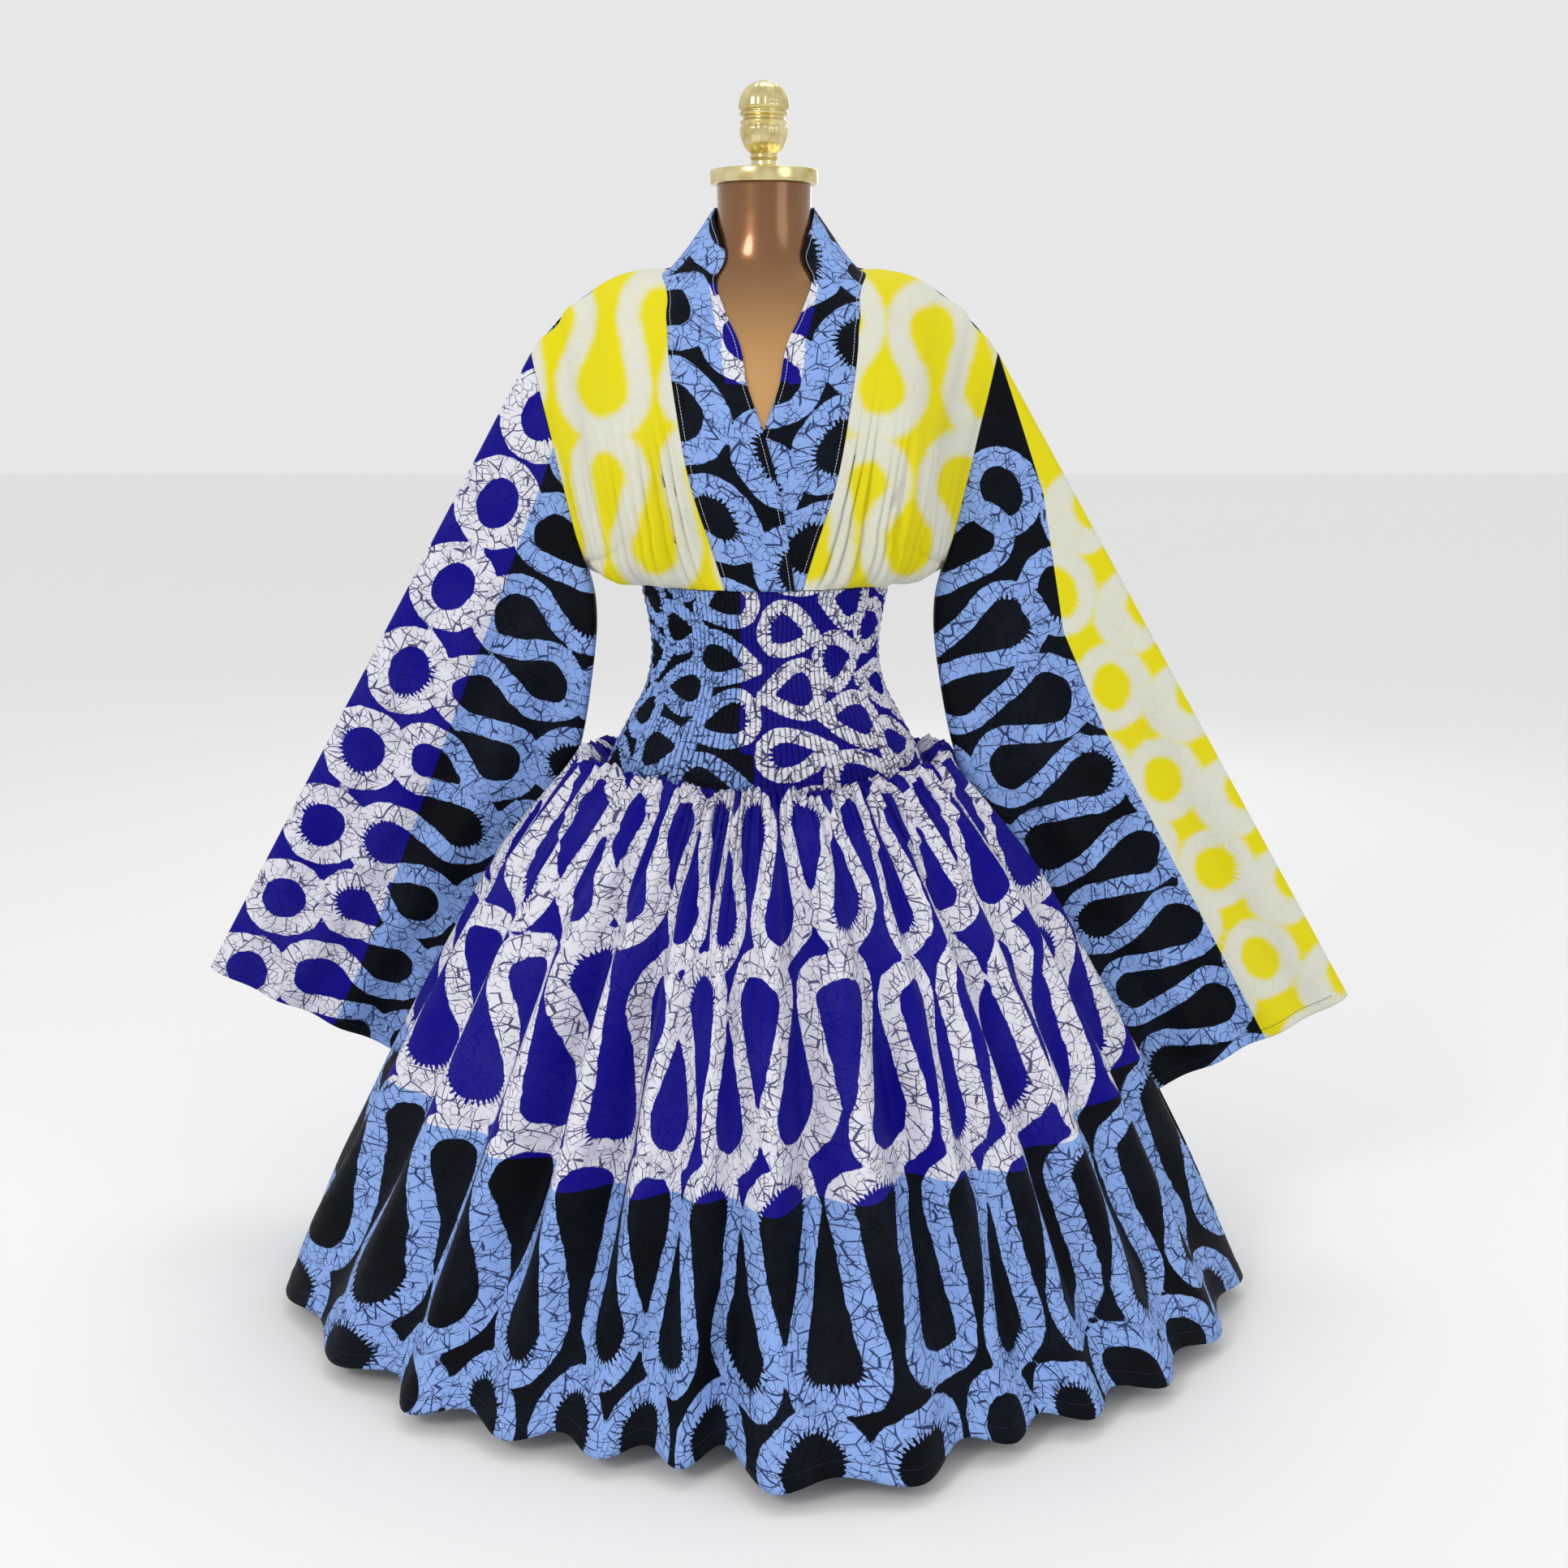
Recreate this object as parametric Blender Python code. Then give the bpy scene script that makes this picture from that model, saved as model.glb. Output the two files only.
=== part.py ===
"""A wax print dress with wide sleeves, on a limbless dress form with a short stand.

Metres, +Z up. The wearer faces -Y and the wearer's left is +X. The floor is at height 0.
Every piece of cloth is one closed wall. It is drawn as a flat grid, and each point of the grid
is then placed by the formula of that piece: the inside of the cloth first, and the outside one
cloth thickness further along the surface's own normal.
"""

import math
from collections import namedtuple

import bmesh
import bpy
from mathutils import Vector

# Cloth and seams
CLOTH = 0.0012
SEAM_GAP = 0.0004
SMOCKING_GAP = 0.0005
BAND_GAP = 0.0024
BAND_OVERLAP = 0.0021
PUCKER_HEIGHT = 0.0009
WELD = 0.0001
SLOPE_STEP = 0.004
SLOPE_PROBE = 0.001
CLEARING_TURNS = 6
STAND_GAP = 0.0003

# The dress form: an ellipse at each height, with its own depth in front and behind
FormRow = namedtuple("FormRow", "height half_width front back")
FORM_ROWS = (
    FormRow(1.2327, 0.0500, 0.0500, 0.0500),
    FormRow(1.1950, 0.0505, 0.0510, 0.0520),
    FormRow(1.1720, 0.0550, 0.0530, 0.0580),
    FormRow(1.1550, 0.0680, 0.0560, 0.0600),
    FormRow(1.1460, 0.0890, 0.0590, 0.0640),
    FormRow(1.1380, 0.1150, 0.0640, 0.0690),
    FormRow(1.1270, 0.1420, 0.0715, 0.0750),
    FormRow(1.1080, 0.1660, 0.0840, 0.0830),
    FormRow(1.0780, 0.1830, 0.1010, 0.0910),
    FormRow(1.0300, 0.1830, 0.1160, 0.0950),
    FormRow(0.9850, 0.1760, 0.1270, 0.0960),
    FormRow(0.9450, 0.1690, 0.1290, 0.0940),
    FormRow(0.9050, 0.1600, 0.1220, 0.0900),
    FormRow(0.8650, 0.1480, 0.1100, 0.0860),
    FormRow(0.8150, 0.1340, 0.1000, 0.0820),
    FormRow(0.7750, 0.1255, 0.0960, 0.0820),
    FormRow(0.7380, 0.1225, 0.0950, 0.0840),
    FormRow(0.7000, 0.1295, 0.1010, 0.0920),
    FormRow(0.6600, 0.1500, 0.1130, 0.1040),
    FormRow(0.6200, 0.1705, 0.1265, 0.1180),
    FormRow(0.6020, 0.1775, 0.1320, 0.1240),
    FormRow(0.5650, 0.1830, 0.1370, 0.1300),
    FormRow(0.5520, 0.1740, 0.1290, 0.1220),
)
FORM_SIDES = 28
FORM_BOTTOM = FORM_ROWS[-1].height

# The stand under the form
BASE_RADIUS = 0.160
BASE_HEIGHT = 0.018
BASE_EDGE = 0.006
POLE_RADIUS = 0.0125

# The metal cap on the neck and the turned finial on the cap
CAP_RADIUS = 0.057
CAP_BOTTOM = 1.2330
CAP_TOP = 1.2480
CAP_EDGE = 0.0025
FINIAL_BOTTOM = CAP_TOP + STAND_GAP
FINIAL_SIDES = 20
TurnedRow = namedtuple("TurnedRow", "radius height")
FINIAL_ROWS = (
    TurnedRow(0.0175, FINIAL_BOTTOM),
    TurnedRow(0.0175, 1.2510),
    TurnedRow(0.0142, 1.2530),
    TurnedRow(0.0142, 1.2640),
    TurnedRow(0.0185, 1.2680),
    TurnedRow(0.0240, 1.2780),
    TurnedRow(0.0260, 1.2890),
    TurnedRow(0.0245, 1.2970),
    TurnedRow(0.0222, 1.3010),
    TurnedRow(0.0262, 1.3050),
    TurnedRow(0.0268, 1.3120),
    TurnedRow(0.0250, 1.3220),
    TurnedRow(0.0190, 1.3315),
    TurnedRow(0.0090, 1.3370),
)
FINIAL_TOP = 1.3380

# The smocked waist: its rows are the form's rows from here down
WAIST_TOP = 0.8150
WAIST_BOTTOM = 0.6020
WAIST_COLUMNS = 44

# The neckband, from the waist seam up the chest and round the neck to the nape.
# An angle of 0 is the front of the form and 90 its side, on the band's own side.
BandRow = namedtuple("BandRow", "inner_angle inner_height outer_angle outer_height")
BAND_ROWS = (
    BandRow(-13.3, 0.8159, 17.2, 0.8159),
    BandRow(-7.3, 0.8980, 25.0, 0.9090),
    BandRow(-1.3, 0.9690, 27.8, 0.9620),
    BandRow(4.7, 1.0240, 29.8, 1.0280),
    BandRow(9.5, 1.0830, 32.9, 1.0900),
    BandRow(29.6, 1.1480, 45.6, 1.1280),
    BandRow(90.0, 1.2070, 90.0, 1.1435),
    BandRow(138.0, 1.2040, 138.0, 1.1390),
    BandRow(179.8, 1.2000, 179.8, 1.1370),
)
NECK_SIDE_ROW = 6
NAPE_ROW = 8
BAND_COLUMNS = 4
# The rows between which the right band's extra gap to the form fades out
CROSSING_ROWS = (5, 3.5)
# Rows shared by the neckband and the blouse, closest where the blouse rolls into the waist
ROW_STOPS = (0, 0.2, 0.45, 0.7, 1, 1.5, 2, 2.5, 3, 3.5, 4, 4.4, 4.8, 5.2, 5.6, 6)
NAPE_STOPS = (6.5, 7, 7.5, 8)

# The armhole is a straight line from the shoulder point to the underarm
SHOULDER_X = 0.250
SHOULDER_Z = 1.060
UNDERARM_X = 0.199
UNDERARM_Z = 0.836
ARMHOLE_HALF_DEPTH = 0.019
ARMHOLE_ROUNDNESS = 3.2

# The blouse above the waist
FRONT_COLUMNS = 14
BACK_COLUMNS = 28
BACK_NECK_COLUMNS = 12
SHOULDER_ARCH = 0.027
FRONT_FULLNESS = 0.016
BACK_FULLNESS = 0.012
SIDE_FALL = 2.6
SIDE_SOFTNESS = 1.3
BLOUSE_GATHER = 0.0022
# The rows between which the gathers fade out up the blouse, and what is left of them at the seam
GATHER_ROWS = (3.2, 0.8)
SEAM_GATHER = 0.4
SEAM_GATHER_ROW = 0.5
# The share of a panel's width at its edges where gathers fade out
EDGE_FADE = 0.15
FULL_FROM = 0.7
BACK_FULL_FROM = 0.8
SHOULDER_FADE = 0.2
BACK_DROP = 0.35
BACK_ONSET = 0.45
BACK_LOW_Z = 0.850
BACK_SHOULDER_GAP = 0.005

# The sleeve: how far down the straight outer edge each row starts, and where it ends inside
SleeveRow = namedtuple("SleeveRow", "outer_share inner_x inner_z half_depth")
SLEEVE_ROWS = (
    SleeveRow(0.00, UNDERARM_X, UNDERARM_Z, ARMHOLE_HALF_DEPTH),
    SleeveRow(0.08, 0.1885, 0.7920, 0.0200),
    SleeveRow(0.19, 0.1920, 0.7280, 0.0190),
    SleeveRow(0.37, 0.2165, 0.6125, 0.0175),
    SleeveRow(0.58, 0.2700, 0.4700, 0.0160),
    SleeveRow(0.79, 0.3230, 0.3250, 0.0150),
    SleeveRow(1.00, 0.3770, 0.1800, 0.0150),
)
CUFF_X = 0.676
CUFF_Z = 0.332
SLEEVE_COLUMNS = 10
SLEEVE_STEPS = 2
# The wearer's right sleeve hangs a little further back
RIGHT_SWING = 0.130
SWING_DROP = 0.880
SWING_POWER = 1.2

# The skirt, from the waist seam down. Folds run down it, and tucks at the sides clear the sleeves.
SkirtRow = namedtuple("SkirtRow", "height side front back fold gather tuck lift")
SKIRT_ROWS = (
    SkirtRow(0.6003, 0.1784, 0.1329, 0.1249, 0.000, 0.0000, 0.1784, 0.000),
    SkirtRow(0.6005, 0.1838, 0.1385, 0.1305, 0.000, 0.0008, 0.1838, 0.000),
    SkirtRow(0.6080, 0.2000, 0.1500, 0.1420, 0.001, 0.0040, 0.1990, 0.014),
    SkirtRow(0.5850, 0.2260, 0.1720, 0.1650, 0.003, 0.0050, 0.2090, 0.010),
    SkirtRow(0.5000, 0.2980, 0.2330, 0.2350, 0.009, 0.0030, 0.2500, 0.000),
    SkirtRow(0.4000, 0.3540, 0.2900, 0.2900, 0.013, 0.0000, 0.2880, 0.000),
    SkirtRow(0.2900, 0.4120, 0.3430, 0.3450, 0.016, 0.0000, 0.3280, 0.000),
    SkirtRow(0.1650, 0.4780, 0.4000, 0.4000, 0.015, 0.0000, 0.3680, 0.000),
    SkirtRow(0.0900, 0.5200, 0.4360, 0.4320, 0.013, 0.0000, 0.4800, 0.000),
    SkirtRow(0.0300, 0.5500, 0.4680, 0.4550, 0.012, 0.0000, 0.5350, 0.000),
)
SKIRT_COLUMNS = 56
SKIRT_TRIM = 0.004
FOLDS = 14
# The valleys of the front half, from the wearer's right side seam to the left one. The ridge
# is the one after the valley. A depth or ridge of 1 is the row's fold, and less than 0 stands out.
Valley = namedtuple("Valley", "angle upper_depth hem_depth upper_ridge hem_ridge")
FRONT_VALLEYS = (
    Valley(-90.0, 1.0, 1.0, 1.2, 0.8),
    Valley(-75.0, 0.5, 0.9, 1.2, 1.1),
    Valley(-62.0, 1.1, 0.7, 1.1, 1.0),
    Valley(-50.0, 0.6, 1.3, 1.2, 1.5),
    Valley(-37.5, 1.9, 0.8, 1.2, 0.8),
    Valley(-24.5, 1.8, 0.9, 0.9, 0.6),
    Valley(-14.0, 0.4, 0.9, 0.9, 0.7),
    Valley(-5.0, 0.8, 1.6, 1.1, 3.6),
    Valley(8.0, 1.9, -2.9, 1.1, 3.9),
    Valley(24.5, 1.7, 0.2, 0.9, 0.8),
    Valley(35.0, 0.5, 0.8, 1.0, 1.0),
    Valley(46.0, 1.2, 1.1, 1.0, 1.1),
    Valley(58.0, 0.6, 0.6, 1.0, 0.9),
    Valley(72.0, 0.9, 1.0, 1.1, 0.8),
)
BACK_UNEVENNESS = 2.2
BACK_DEPTH = 1.1
BACK_DEPTH_SWING = 0.5
BACK_RIDGE_SWING = 0.3
BACK_ANGLE_WAVE = 2.1
BACK_DEPTH_WAVE = 2.7
BACK_RIDGE_WAVE = 1.7
TUCK_POWER = 2.7
TUCK_REACH = 0.5
HEM_FOLD_ROWS = (6, 8.5)
# How far back the right side seam and its tuck are turned, in degrees, and where that starts
RIGHT_LEAN = 17.5
LEAN_FROM = -50.0
HEM_DIP = 0.010
HEM_DIP_ROWS = (7, 9)


def material(name, colour, roughness, metallic):
    made = bpy.data.materials.new(name)
    made.use_nodes = True
    shader = made.node_tree.nodes["Principled BSDF"]
    shader.inputs["Base Color"].default_value = (*colour, 1)
    shader.inputs["Roughness"].default_value = roughness
    shader.inputs["Metallic"].default_value = metallic
    return made


def add_object(name, bm, finish, sharp_angle=50):
    """Makes the mesh into a named object with its material, smooth but for sharp edges."""
    bmesh.ops.recalc_face_normals(bm, faces=bm.faces)
    if bm.calc_volume(signed=True) < 0:
        bmesh.ops.reverse_faces(bm, faces=bm.faces)
    mesh = bpy.data.meshes.new(name)
    bm.to_mesh(mesh)
    bm.free()
    mesh.materials.append(finish)
    mesh.shade_smooth()
    mesh.set_sharp_from_angle(angle=math.radians(sharp_angle))
    made = bpy.data.objects.new(name, mesh)
    bpy.context.scene.collection.objects.link(made)
    return made


def mix(a, b, share):
    return a + (b - a) * share


def smooth_step(low, high, value):
    share = min(max((value - low) / (high - low), 0), 1)
    return share * share * (3 - 2 * share)


def between(values, place):
    """Reads a smooth curve through evenly spaced values, at a place counted in rows."""
    first = min(int(place), len(values) - 2)
    part = place - first
    before = values[max(first - 1, 0)]
    start = values[first]
    end = values[first + 1]
    after = values[min(first + 2, len(values) - 1)]
    bend = 2 * before - 5 * start + 4 * end - after
    twist = 3 * (start - end) + after - before
    return start + 0.5 * part * (end - before + part * (bend + part * twist))


def grid(columns, rows, closes):
    """A flat grid whose points remember their column and row. It may close into a tube."""
    bm = bmesh.new()
    bmesh.ops.create_grid(bm, x_segments=columns, y_segments=rows, size=0.5)
    column = bm.verts.layers.float.new("column")
    row = bm.verts.layers.float.new("row")
    for vert in bm.verts:
        vert[column] = vert.co.x + 0.5
        vert[row] = vert.co.y + 0.5
    if closes:
        for vert in bm.verts:
            turn = vert[column] * math.tau
            vert.co = Vector((math.cos(turn), math.sin(turn), vert[row]))
        bmesh.ops.remove_doubles(bm, verts=bm.verts, dist=WELD)
    return bm, column, row


def normal_of(surface, column, row, facing):
    """The direction out of the cloth at a point of its surface."""
    left = surface(max(column - SLOPE_STEP, 0), row)
    right = surface(min(column + SLOPE_STEP, 1), row)
    below = surface(column, max(row - SLOPE_STEP, 0))
    above = surface(column, min(row + SLOPE_STEP, 1))
    return (right - left).cross(above - below).normalized() * facing


def mirrored(point, side):
    return Vector((point.x * side, point.y, point.z))


def cloth(name, columns, rows, inside, outside, finish):
    """One closed wall of cloth between an inside and an outside, both given by formulas."""
    bm, column, row = grid(columns, rows, False)
    made = bmesh.ops.extrude_face_region(bm, geom=bm.faces[:], use_keep_orig=True)
    outer = {item for item in made["geom"] if isinstance(item, bmesh.types.BMVert)}
    for vert in bm.verts:
        place = outside if vert in outer else inside
        vert.co = place(vert[column], vert[row])
    return add_object(name, bm, finish)


def form_reach(height):
    """The half width, front and back depth of the form at a height."""
    rows = FORM_ROWS
    above = rows[0]
    for below in rows[1:]:
        if height >= below.height:
            break
        above = below
    share = min(max((above.height - height) / (above.height - below.height), 0), 1)
    return [mix(above[i], below[i], share) for i in (1, 2, 3)]


def on_form(angle, height, gap):
    """The point a gap outside the form, at an angle in degrees from its front."""
    half_width, front, back = form_reach(height)
    turn = math.radians(angle)
    depth = front if math.cos(turn) > 0 else back
    x = (half_width + gap) * math.sin(turn)
    y = -(depth + gap) * math.cos(turn)
    return Vector((x, y, height))


def form_share(point):
    """How far out a point is: 1 on the form's surface, and less inside it."""
    half_width, front, back = form_reach(point.z)
    return math.hypot(point.x / half_width, point.y / (front if point.y < 0 else back))


def clear_of_form(point, gap):
    """The point itself, or one moved out along the form's slope until it has the gap."""
    steps = [Vector((SLOPE_PROBE, 0, 0)), Vector((0, SLOPE_PROBE, 0)), Vector((0, 0, SLOPE_PROBE))]
    for _ in range(CLEARING_TURNS):
        rise = [form_share(point + step) - form_share(point - step) for step in steps]
        slope = Vector(rise) / (2 * SLOPE_PROBE)
        distance = (form_share(point) - 1) / slope.length
        if distance >= gap:
            break
        point = point + slope.normalized() * (gap - distance)
    return point


def build_form(finish):
    """The limbless torso, one closed body from the neck to just below the hips."""
    bm, column, row = grid(FORM_SIDES, len(FORM_ROWS) - 1, True)
    for vert in bm.verts:
        height = FORM_ROWS[round(vert[row] * (len(FORM_ROWS) - 1))].height
        vert.co = on_form(vert[column] * 360, height, 0)
    ends = [edge for edge in bm.edges if edge.is_boundary]
    bmesh.ops.holes_fill(bm, edges=ends, sides=0)
    add_object("form_torso", bm, finish)


def build_stand(finish):
    """A round base on the floor and a pole up to the form, both under the skirt."""
    bm = bmesh.new()
    bmesh.ops.create_cone(
        bm,
        segments=36,
        radius1=BASE_RADIUS,
        radius2=BASE_RADIUS,
        depth=BASE_HEIGHT,
        cap_ends=True,
    )
    rim = [
        edge
        for edge in bm.edges
        if all(vert.co.z > 0 and len(vert.link_faces) == 3 for vert in edge.verts)
    ]
    bmesh.ops.bevel(
        bm, geom=rim, offset=BASE_EDGE, segments=2, profile=0.5, affect="EDGES", material=-1
    )
    bmesh.ops.translate(bm, verts=bm.verts, vec=(0, 0, BASE_HEIGHT / 2))
    add_object("form_base", bm, finish, 30)

    low = BASE_HEIGHT + STAND_GAP
    high = FORM_BOTTOM - STAND_GAP
    bm = bmesh.new()
    bmesh.ops.create_cone(
        bm,
        segments=16,
        radius1=POLE_RADIUS,
        radius2=POLE_RADIUS,
        depth=high - low,
        cap_ends=True,
    )
    bmesh.ops.translate(bm, verts=bm.verts, vec=(0, 0, (low + high) / 2))
    add_object("form_pole", bm, finish)


def build_neck_cap(finish):
    """The polished disc on the neck and the turned finial that stands on it."""
    bm = bmesh.new()
    bmesh.ops.create_cone(
        bm,
        segments=36,
        radius1=CAP_RADIUS,
        radius2=CAP_RADIUS,
        depth=CAP_TOP - CAP_BOTTOM,
        cap_ends=True,
    )
    rim = [edge for edge in bm.edges if any(len(face.verts) > 4 for face in edge.link_faces)]
    bmesh.ops.bevel(
        bm, geom=rim, offset=CAP_EDGE, segments=1, profile=0.5, affect="EDGES", material=-1
    )
    bmesh.ops.translate(bm, verts=bm.verts, vec=(0, 0, (CAP_TOP + CAP_BOTTOM) / 2))
    add_object("form_neck_cap", bm, finish, 30)

    bm = bmesh.new()
    profile = [bm.verts.new((0, 0, FINIAL_BOTTOM))]
    profile += [bm.verts.new((row.radius, 0, row.height)) for row in FINIAL_ROWS]
    profile.append(bm.verts.new((0, 0, FINIAL_TOP)))
    edges = [bm.edges.new(pair) for pair in zip(profile, profile[1:])]
    bmesh.ops.spin(
        bm,
        geom=profile + edges,
        cent=(0, 0, 0),
        axis=(0, 0, 1),
        angle=math.tau,
        steps=FINIAL_SIDES,
        use_merge=True,
    )
    bmesh.ops.remove_doubles(bm, verts=bm.verts, dist=WELD)
    add_object("form_finial", bm, finish, 40)


def build_waist(name, first_angle, finish):
    """One half of the smocked waist, with its puckers raised on a plain inside."""
    rows = [row.height for row in FORM_ROWS if WAIST_BOTTOM <= row.height <= WAIST_TOP]
    trim = math.degrees(SEAM_GAP / 2 / form_reach(WAIST_TOP)[0])

    def place(column, row, gap):
        angle = mix(first_angle + trim, first_angle + 180 - trim, column)
        return on_form(angle, rows[round(row * (len(rows) - 1))], gap)

    def inside(column, row):
        return place(column, row, SMOCKING_GAP)

    def outside(column, row):
        raised = PUCKER_HEIGHT * (round(column * WAIST_COLUMNS) % 2)
        return place(column, row, SMOCKING_GAP + CLOTH + raised)

    cloth(name, WAIST_COLUMNS, len(rows) - 1, inside, outside, finish)


def band_gap(place, over):
    """A band's gap to the form. The right band (over 1) crosses over the left one (0)."""
    return BAND_GAP + over * BAND_OVERLAP * smooth_step(*CROSSING_ROWS, place)


def band_point(place, across, over):
    """A point of a neckband, from its inner edge (across 0) to its outer edge (1)."""
    gap = band_gap(place, over)
    inner_angle = between([row.inner_angle for row in BAND_ROWS], place)
    inner_height = between([row.inner_height for row in BAND_ROWS], place)
    outer_angle = between([row.outer_angle for row in BAND_ROWS], place)
    outer_height = between([row.outer_height for row in BAND_ROWS], place)
    inner = on_form(inner_angle, inner_height, gap)
    outer = on_form(outer_angle, outer_height, gap)
    return clear_of_form(mix(inner, outer, across), gap)


def band_inside(column, row, over):
    """The inside of a neckband at a column and row of its grid."""
    stops = ROW_STOPS + NAPE_STOPS
    return band_point(between(stops, row * (len(stops) - 1)), column, over)


def collar_seam_normal(place, over):
    """The direction out of the seam between the neckband and the blouse, shared by both."""
    stops = ROW_STOPS + NAPE_STOPS
    row = stop_row(place, stops)
    band = normal_of(lambda c, r: band_inside(c, r, over), 1, row, 1)
    if place < NECK_SIDE_ROW:
        row = stop_row(place, ROW_STOPS)
        blouse = normal_of(lambda c, r: front_inside(c, r, over), 0, row, 1)
    else:
        across = (NAPE_ROW - place) / (NAPE_ROW - NECK_SIDE_ROW)
        across *= BACK_NECK_COLUMNS / BACK_COLUMNS
        blouse = normal_of(back_inside, (1 + across) / 2, 1, -1)
    return (band + blouse).normalized()


def stop_row(place, stops):
    """The share of the rows at a place, the other way round from the stops."""
    first = max(i for i in range(len(stops) - 1) if stops[i] <= place + WELD)
    part = (place - stops[first]) / (stops[first + 1] - stops[first])
    return (first + part) / (len(stops) - 1)


def build_neckband(name, side, over, finish):
    """One neckband, from the waist over the chest and round the neck to the nape."""
    stops = ROW_STOPS + NAPE_STOPS

    def inside(column, row):
        return mirrored(band_inside(column, row, over), side)

    def outside(column, row):
        if column > 1 - WELD:
            normal = collar_seam_normal(stops[round(row * (len(stops) - 1))], over)
        else:
            normal = normal_of(lambda c, r: band_inside(c, r, over), column, row, 1)
        return mirrored(band_inside(column, row, over) + normal * CLOTH, side)

    cloth(name, BAND_COLUMNS, len(stops) - 1, inside, outside, finish)


def armhole_depth(share):
    """Half the depth of the armhole, at a share of its length from the shoulder down."""
    off_middle = min(abs(2 * share - 1), 1)
    rounded = (1 - off_middle**ARMHOLE_ROUNDNESS) ** (1 / ARMHOLE_ROUNDNESS)
    return ARMHOLE_HALF_DEPTH * rounded


def roll_to_waist(low, angle, turn):
    """Rounds the blouse from its fullest line in under itself, down to the waist seam."""
    waist = on_form(angle, BAND_ROWS[0].inner_height + CLOTH, BAND_GAP)
    inward = 1 - math.cos(turn * math.pi / 2)
    downward = math.sin(turn * math.pi / 2)
    x = mix(low.x, waist.x, inward)
    y = mix(low.y, waist.y, inward)
    return Vector((x, y, mix(low.z, waist.z, downward)))


def gather_wave(column, columns, place):
    """How far out the gathers stand: none at the chest, full just above the waist."""
    fade = smooth_step(*GATHER_ROWS, place)
    fade *= mix(SEAM_GATHER, 1, smooth_step(0, SEAM_GATHER_ROW, place))
    return BLOUSE_GATHER * fade * math.cos(column * columns * math.pi)


def front_main(across, place, over):
    """A point of the left front above the roll, from the neckband to the armhole."""
    share = (NECK_SIDE_ROW - place) / (NECK_SIDE_ROW - 1)
    edge = band_point(place, 1, over)
    end_x = mix(SHOULDER_X, UNDERARM_X, share)
    end_z = mix(SHOULDER_Z, UNDERARM_Z, share)
    side = armhole_depth(share)
    arch = 4 * across * (1 - across) * SHOULDER_ARCH * (1 - share) ** 2
    fall = (1 - across**SIDE_FALL) ** SIDE_SOFTNESS
    fullness = FRONT_FULLNESS * math.sin(math.pi * across) ** 2 * smooth_step(0, FULL_FROM, share)
    depth = side + (-edge.y - side) * fall + fullness
    x = mix(edge.x + SEAM_GAP, end_x, across)
    z = mix(edge.z, end_z, across) + arch
    return Vector((x, -depth, z))


def front_point(across, place, over):
    """A point of the left front: the blouse, its gathers and its roll into the waist."""
    if place >= 1:
        point = front_main(across, place, over)
    else:
        angle = mix(BAND_ROWS[0].outer_angle, 90, across)
        point = roll_to_waist(front_main(across, 1, over), angle, 1 - place)
        start = roll_to_waist(front_main(0, 1, over), BAND_ROWS[0].outer_angle, 1 - place)
        edge = band_point(place, 1, over) + Vector((SEAM_GAP, 0, 0))
        point += (edge - start) * (1 - across) ** 4
    swell = gather_wave(across, FRONT_COLUMNS, place) * smooth_step(0, EDGE_FADE, across)
    swell *= smooth_step(1, 1 - EDGE_FADE, across)
    outward = Vector((point.x, point.y, 0)).normalized()
    return clear_of_form(point + outward * swell, band_gap(place, over))


def front_inside(column, row, over):
    """The inside of the left front at a column and row of its grid."""
    place = between(ROW_STOPS, row * (len(ROW_STOPS) - 1))
    point = front_point(column, place, over)
    return point - Vector((0, SEAM_GAP / 2, 0))


def armhole_normal(normal):
    """The same direction laid in the armhole's plane, so that the wall stays inside it."""
    line = Vector((SHOULDER_X - UNDERARM_X, 0, SHOULDER_Z - UNDERARM_Z)).normalized()
    outward = Vector((line.z, 0, -line.x))
    return (normal - outward * normal.dot(outward)).normalized()


def build_blouse_front(name, side, over, finish):
    """One front of the blouse, gathered into the waist and open at the armhole."""

    def inside(column, row):
        return mirrored(front_inside(column, row, over), side)

    def outside(column, row):
        place = ROW_STOPS[round(row * (len(ROW_STOPS) - 1))]
        if column < WELD:
            normal = collar_seam_normal(min(place, NECK_SIDE_ROW - WELD), over)
        else:
            normal = normal_of(lambda c, r: front_inside(c, r, over), column, row, 1)
        if column > 1 - WELD and place >= 1:
            normal = armhole_normal(normal)
        return mirrored(front_inside(column, row, over) + normal * CLOTH, side)

    cloth(name, FRONT_COLUMNS, len(ROW_STOPS) - 1, inside, outside, finish)


def back_top(across):
    """The top edge of the back on the left side: the nape, then the shoulder seam."""
    neck = BACK_NECK_COLUMNS / BACK_COLUMNS
    if across < neck:
        point = band_point(mix(NAPE_ROW, NECK_SIDE_ROW, across / neck), 1, 0)
        return Vector((point.x, point.y + SEAM_GAP, point.z - SEAM_GAP))
    point = front_main((across - neck) / (1 - neck), NECK_SIDE_ROW, 0)
    return Vector((point.x, 0, point.z))


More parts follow.
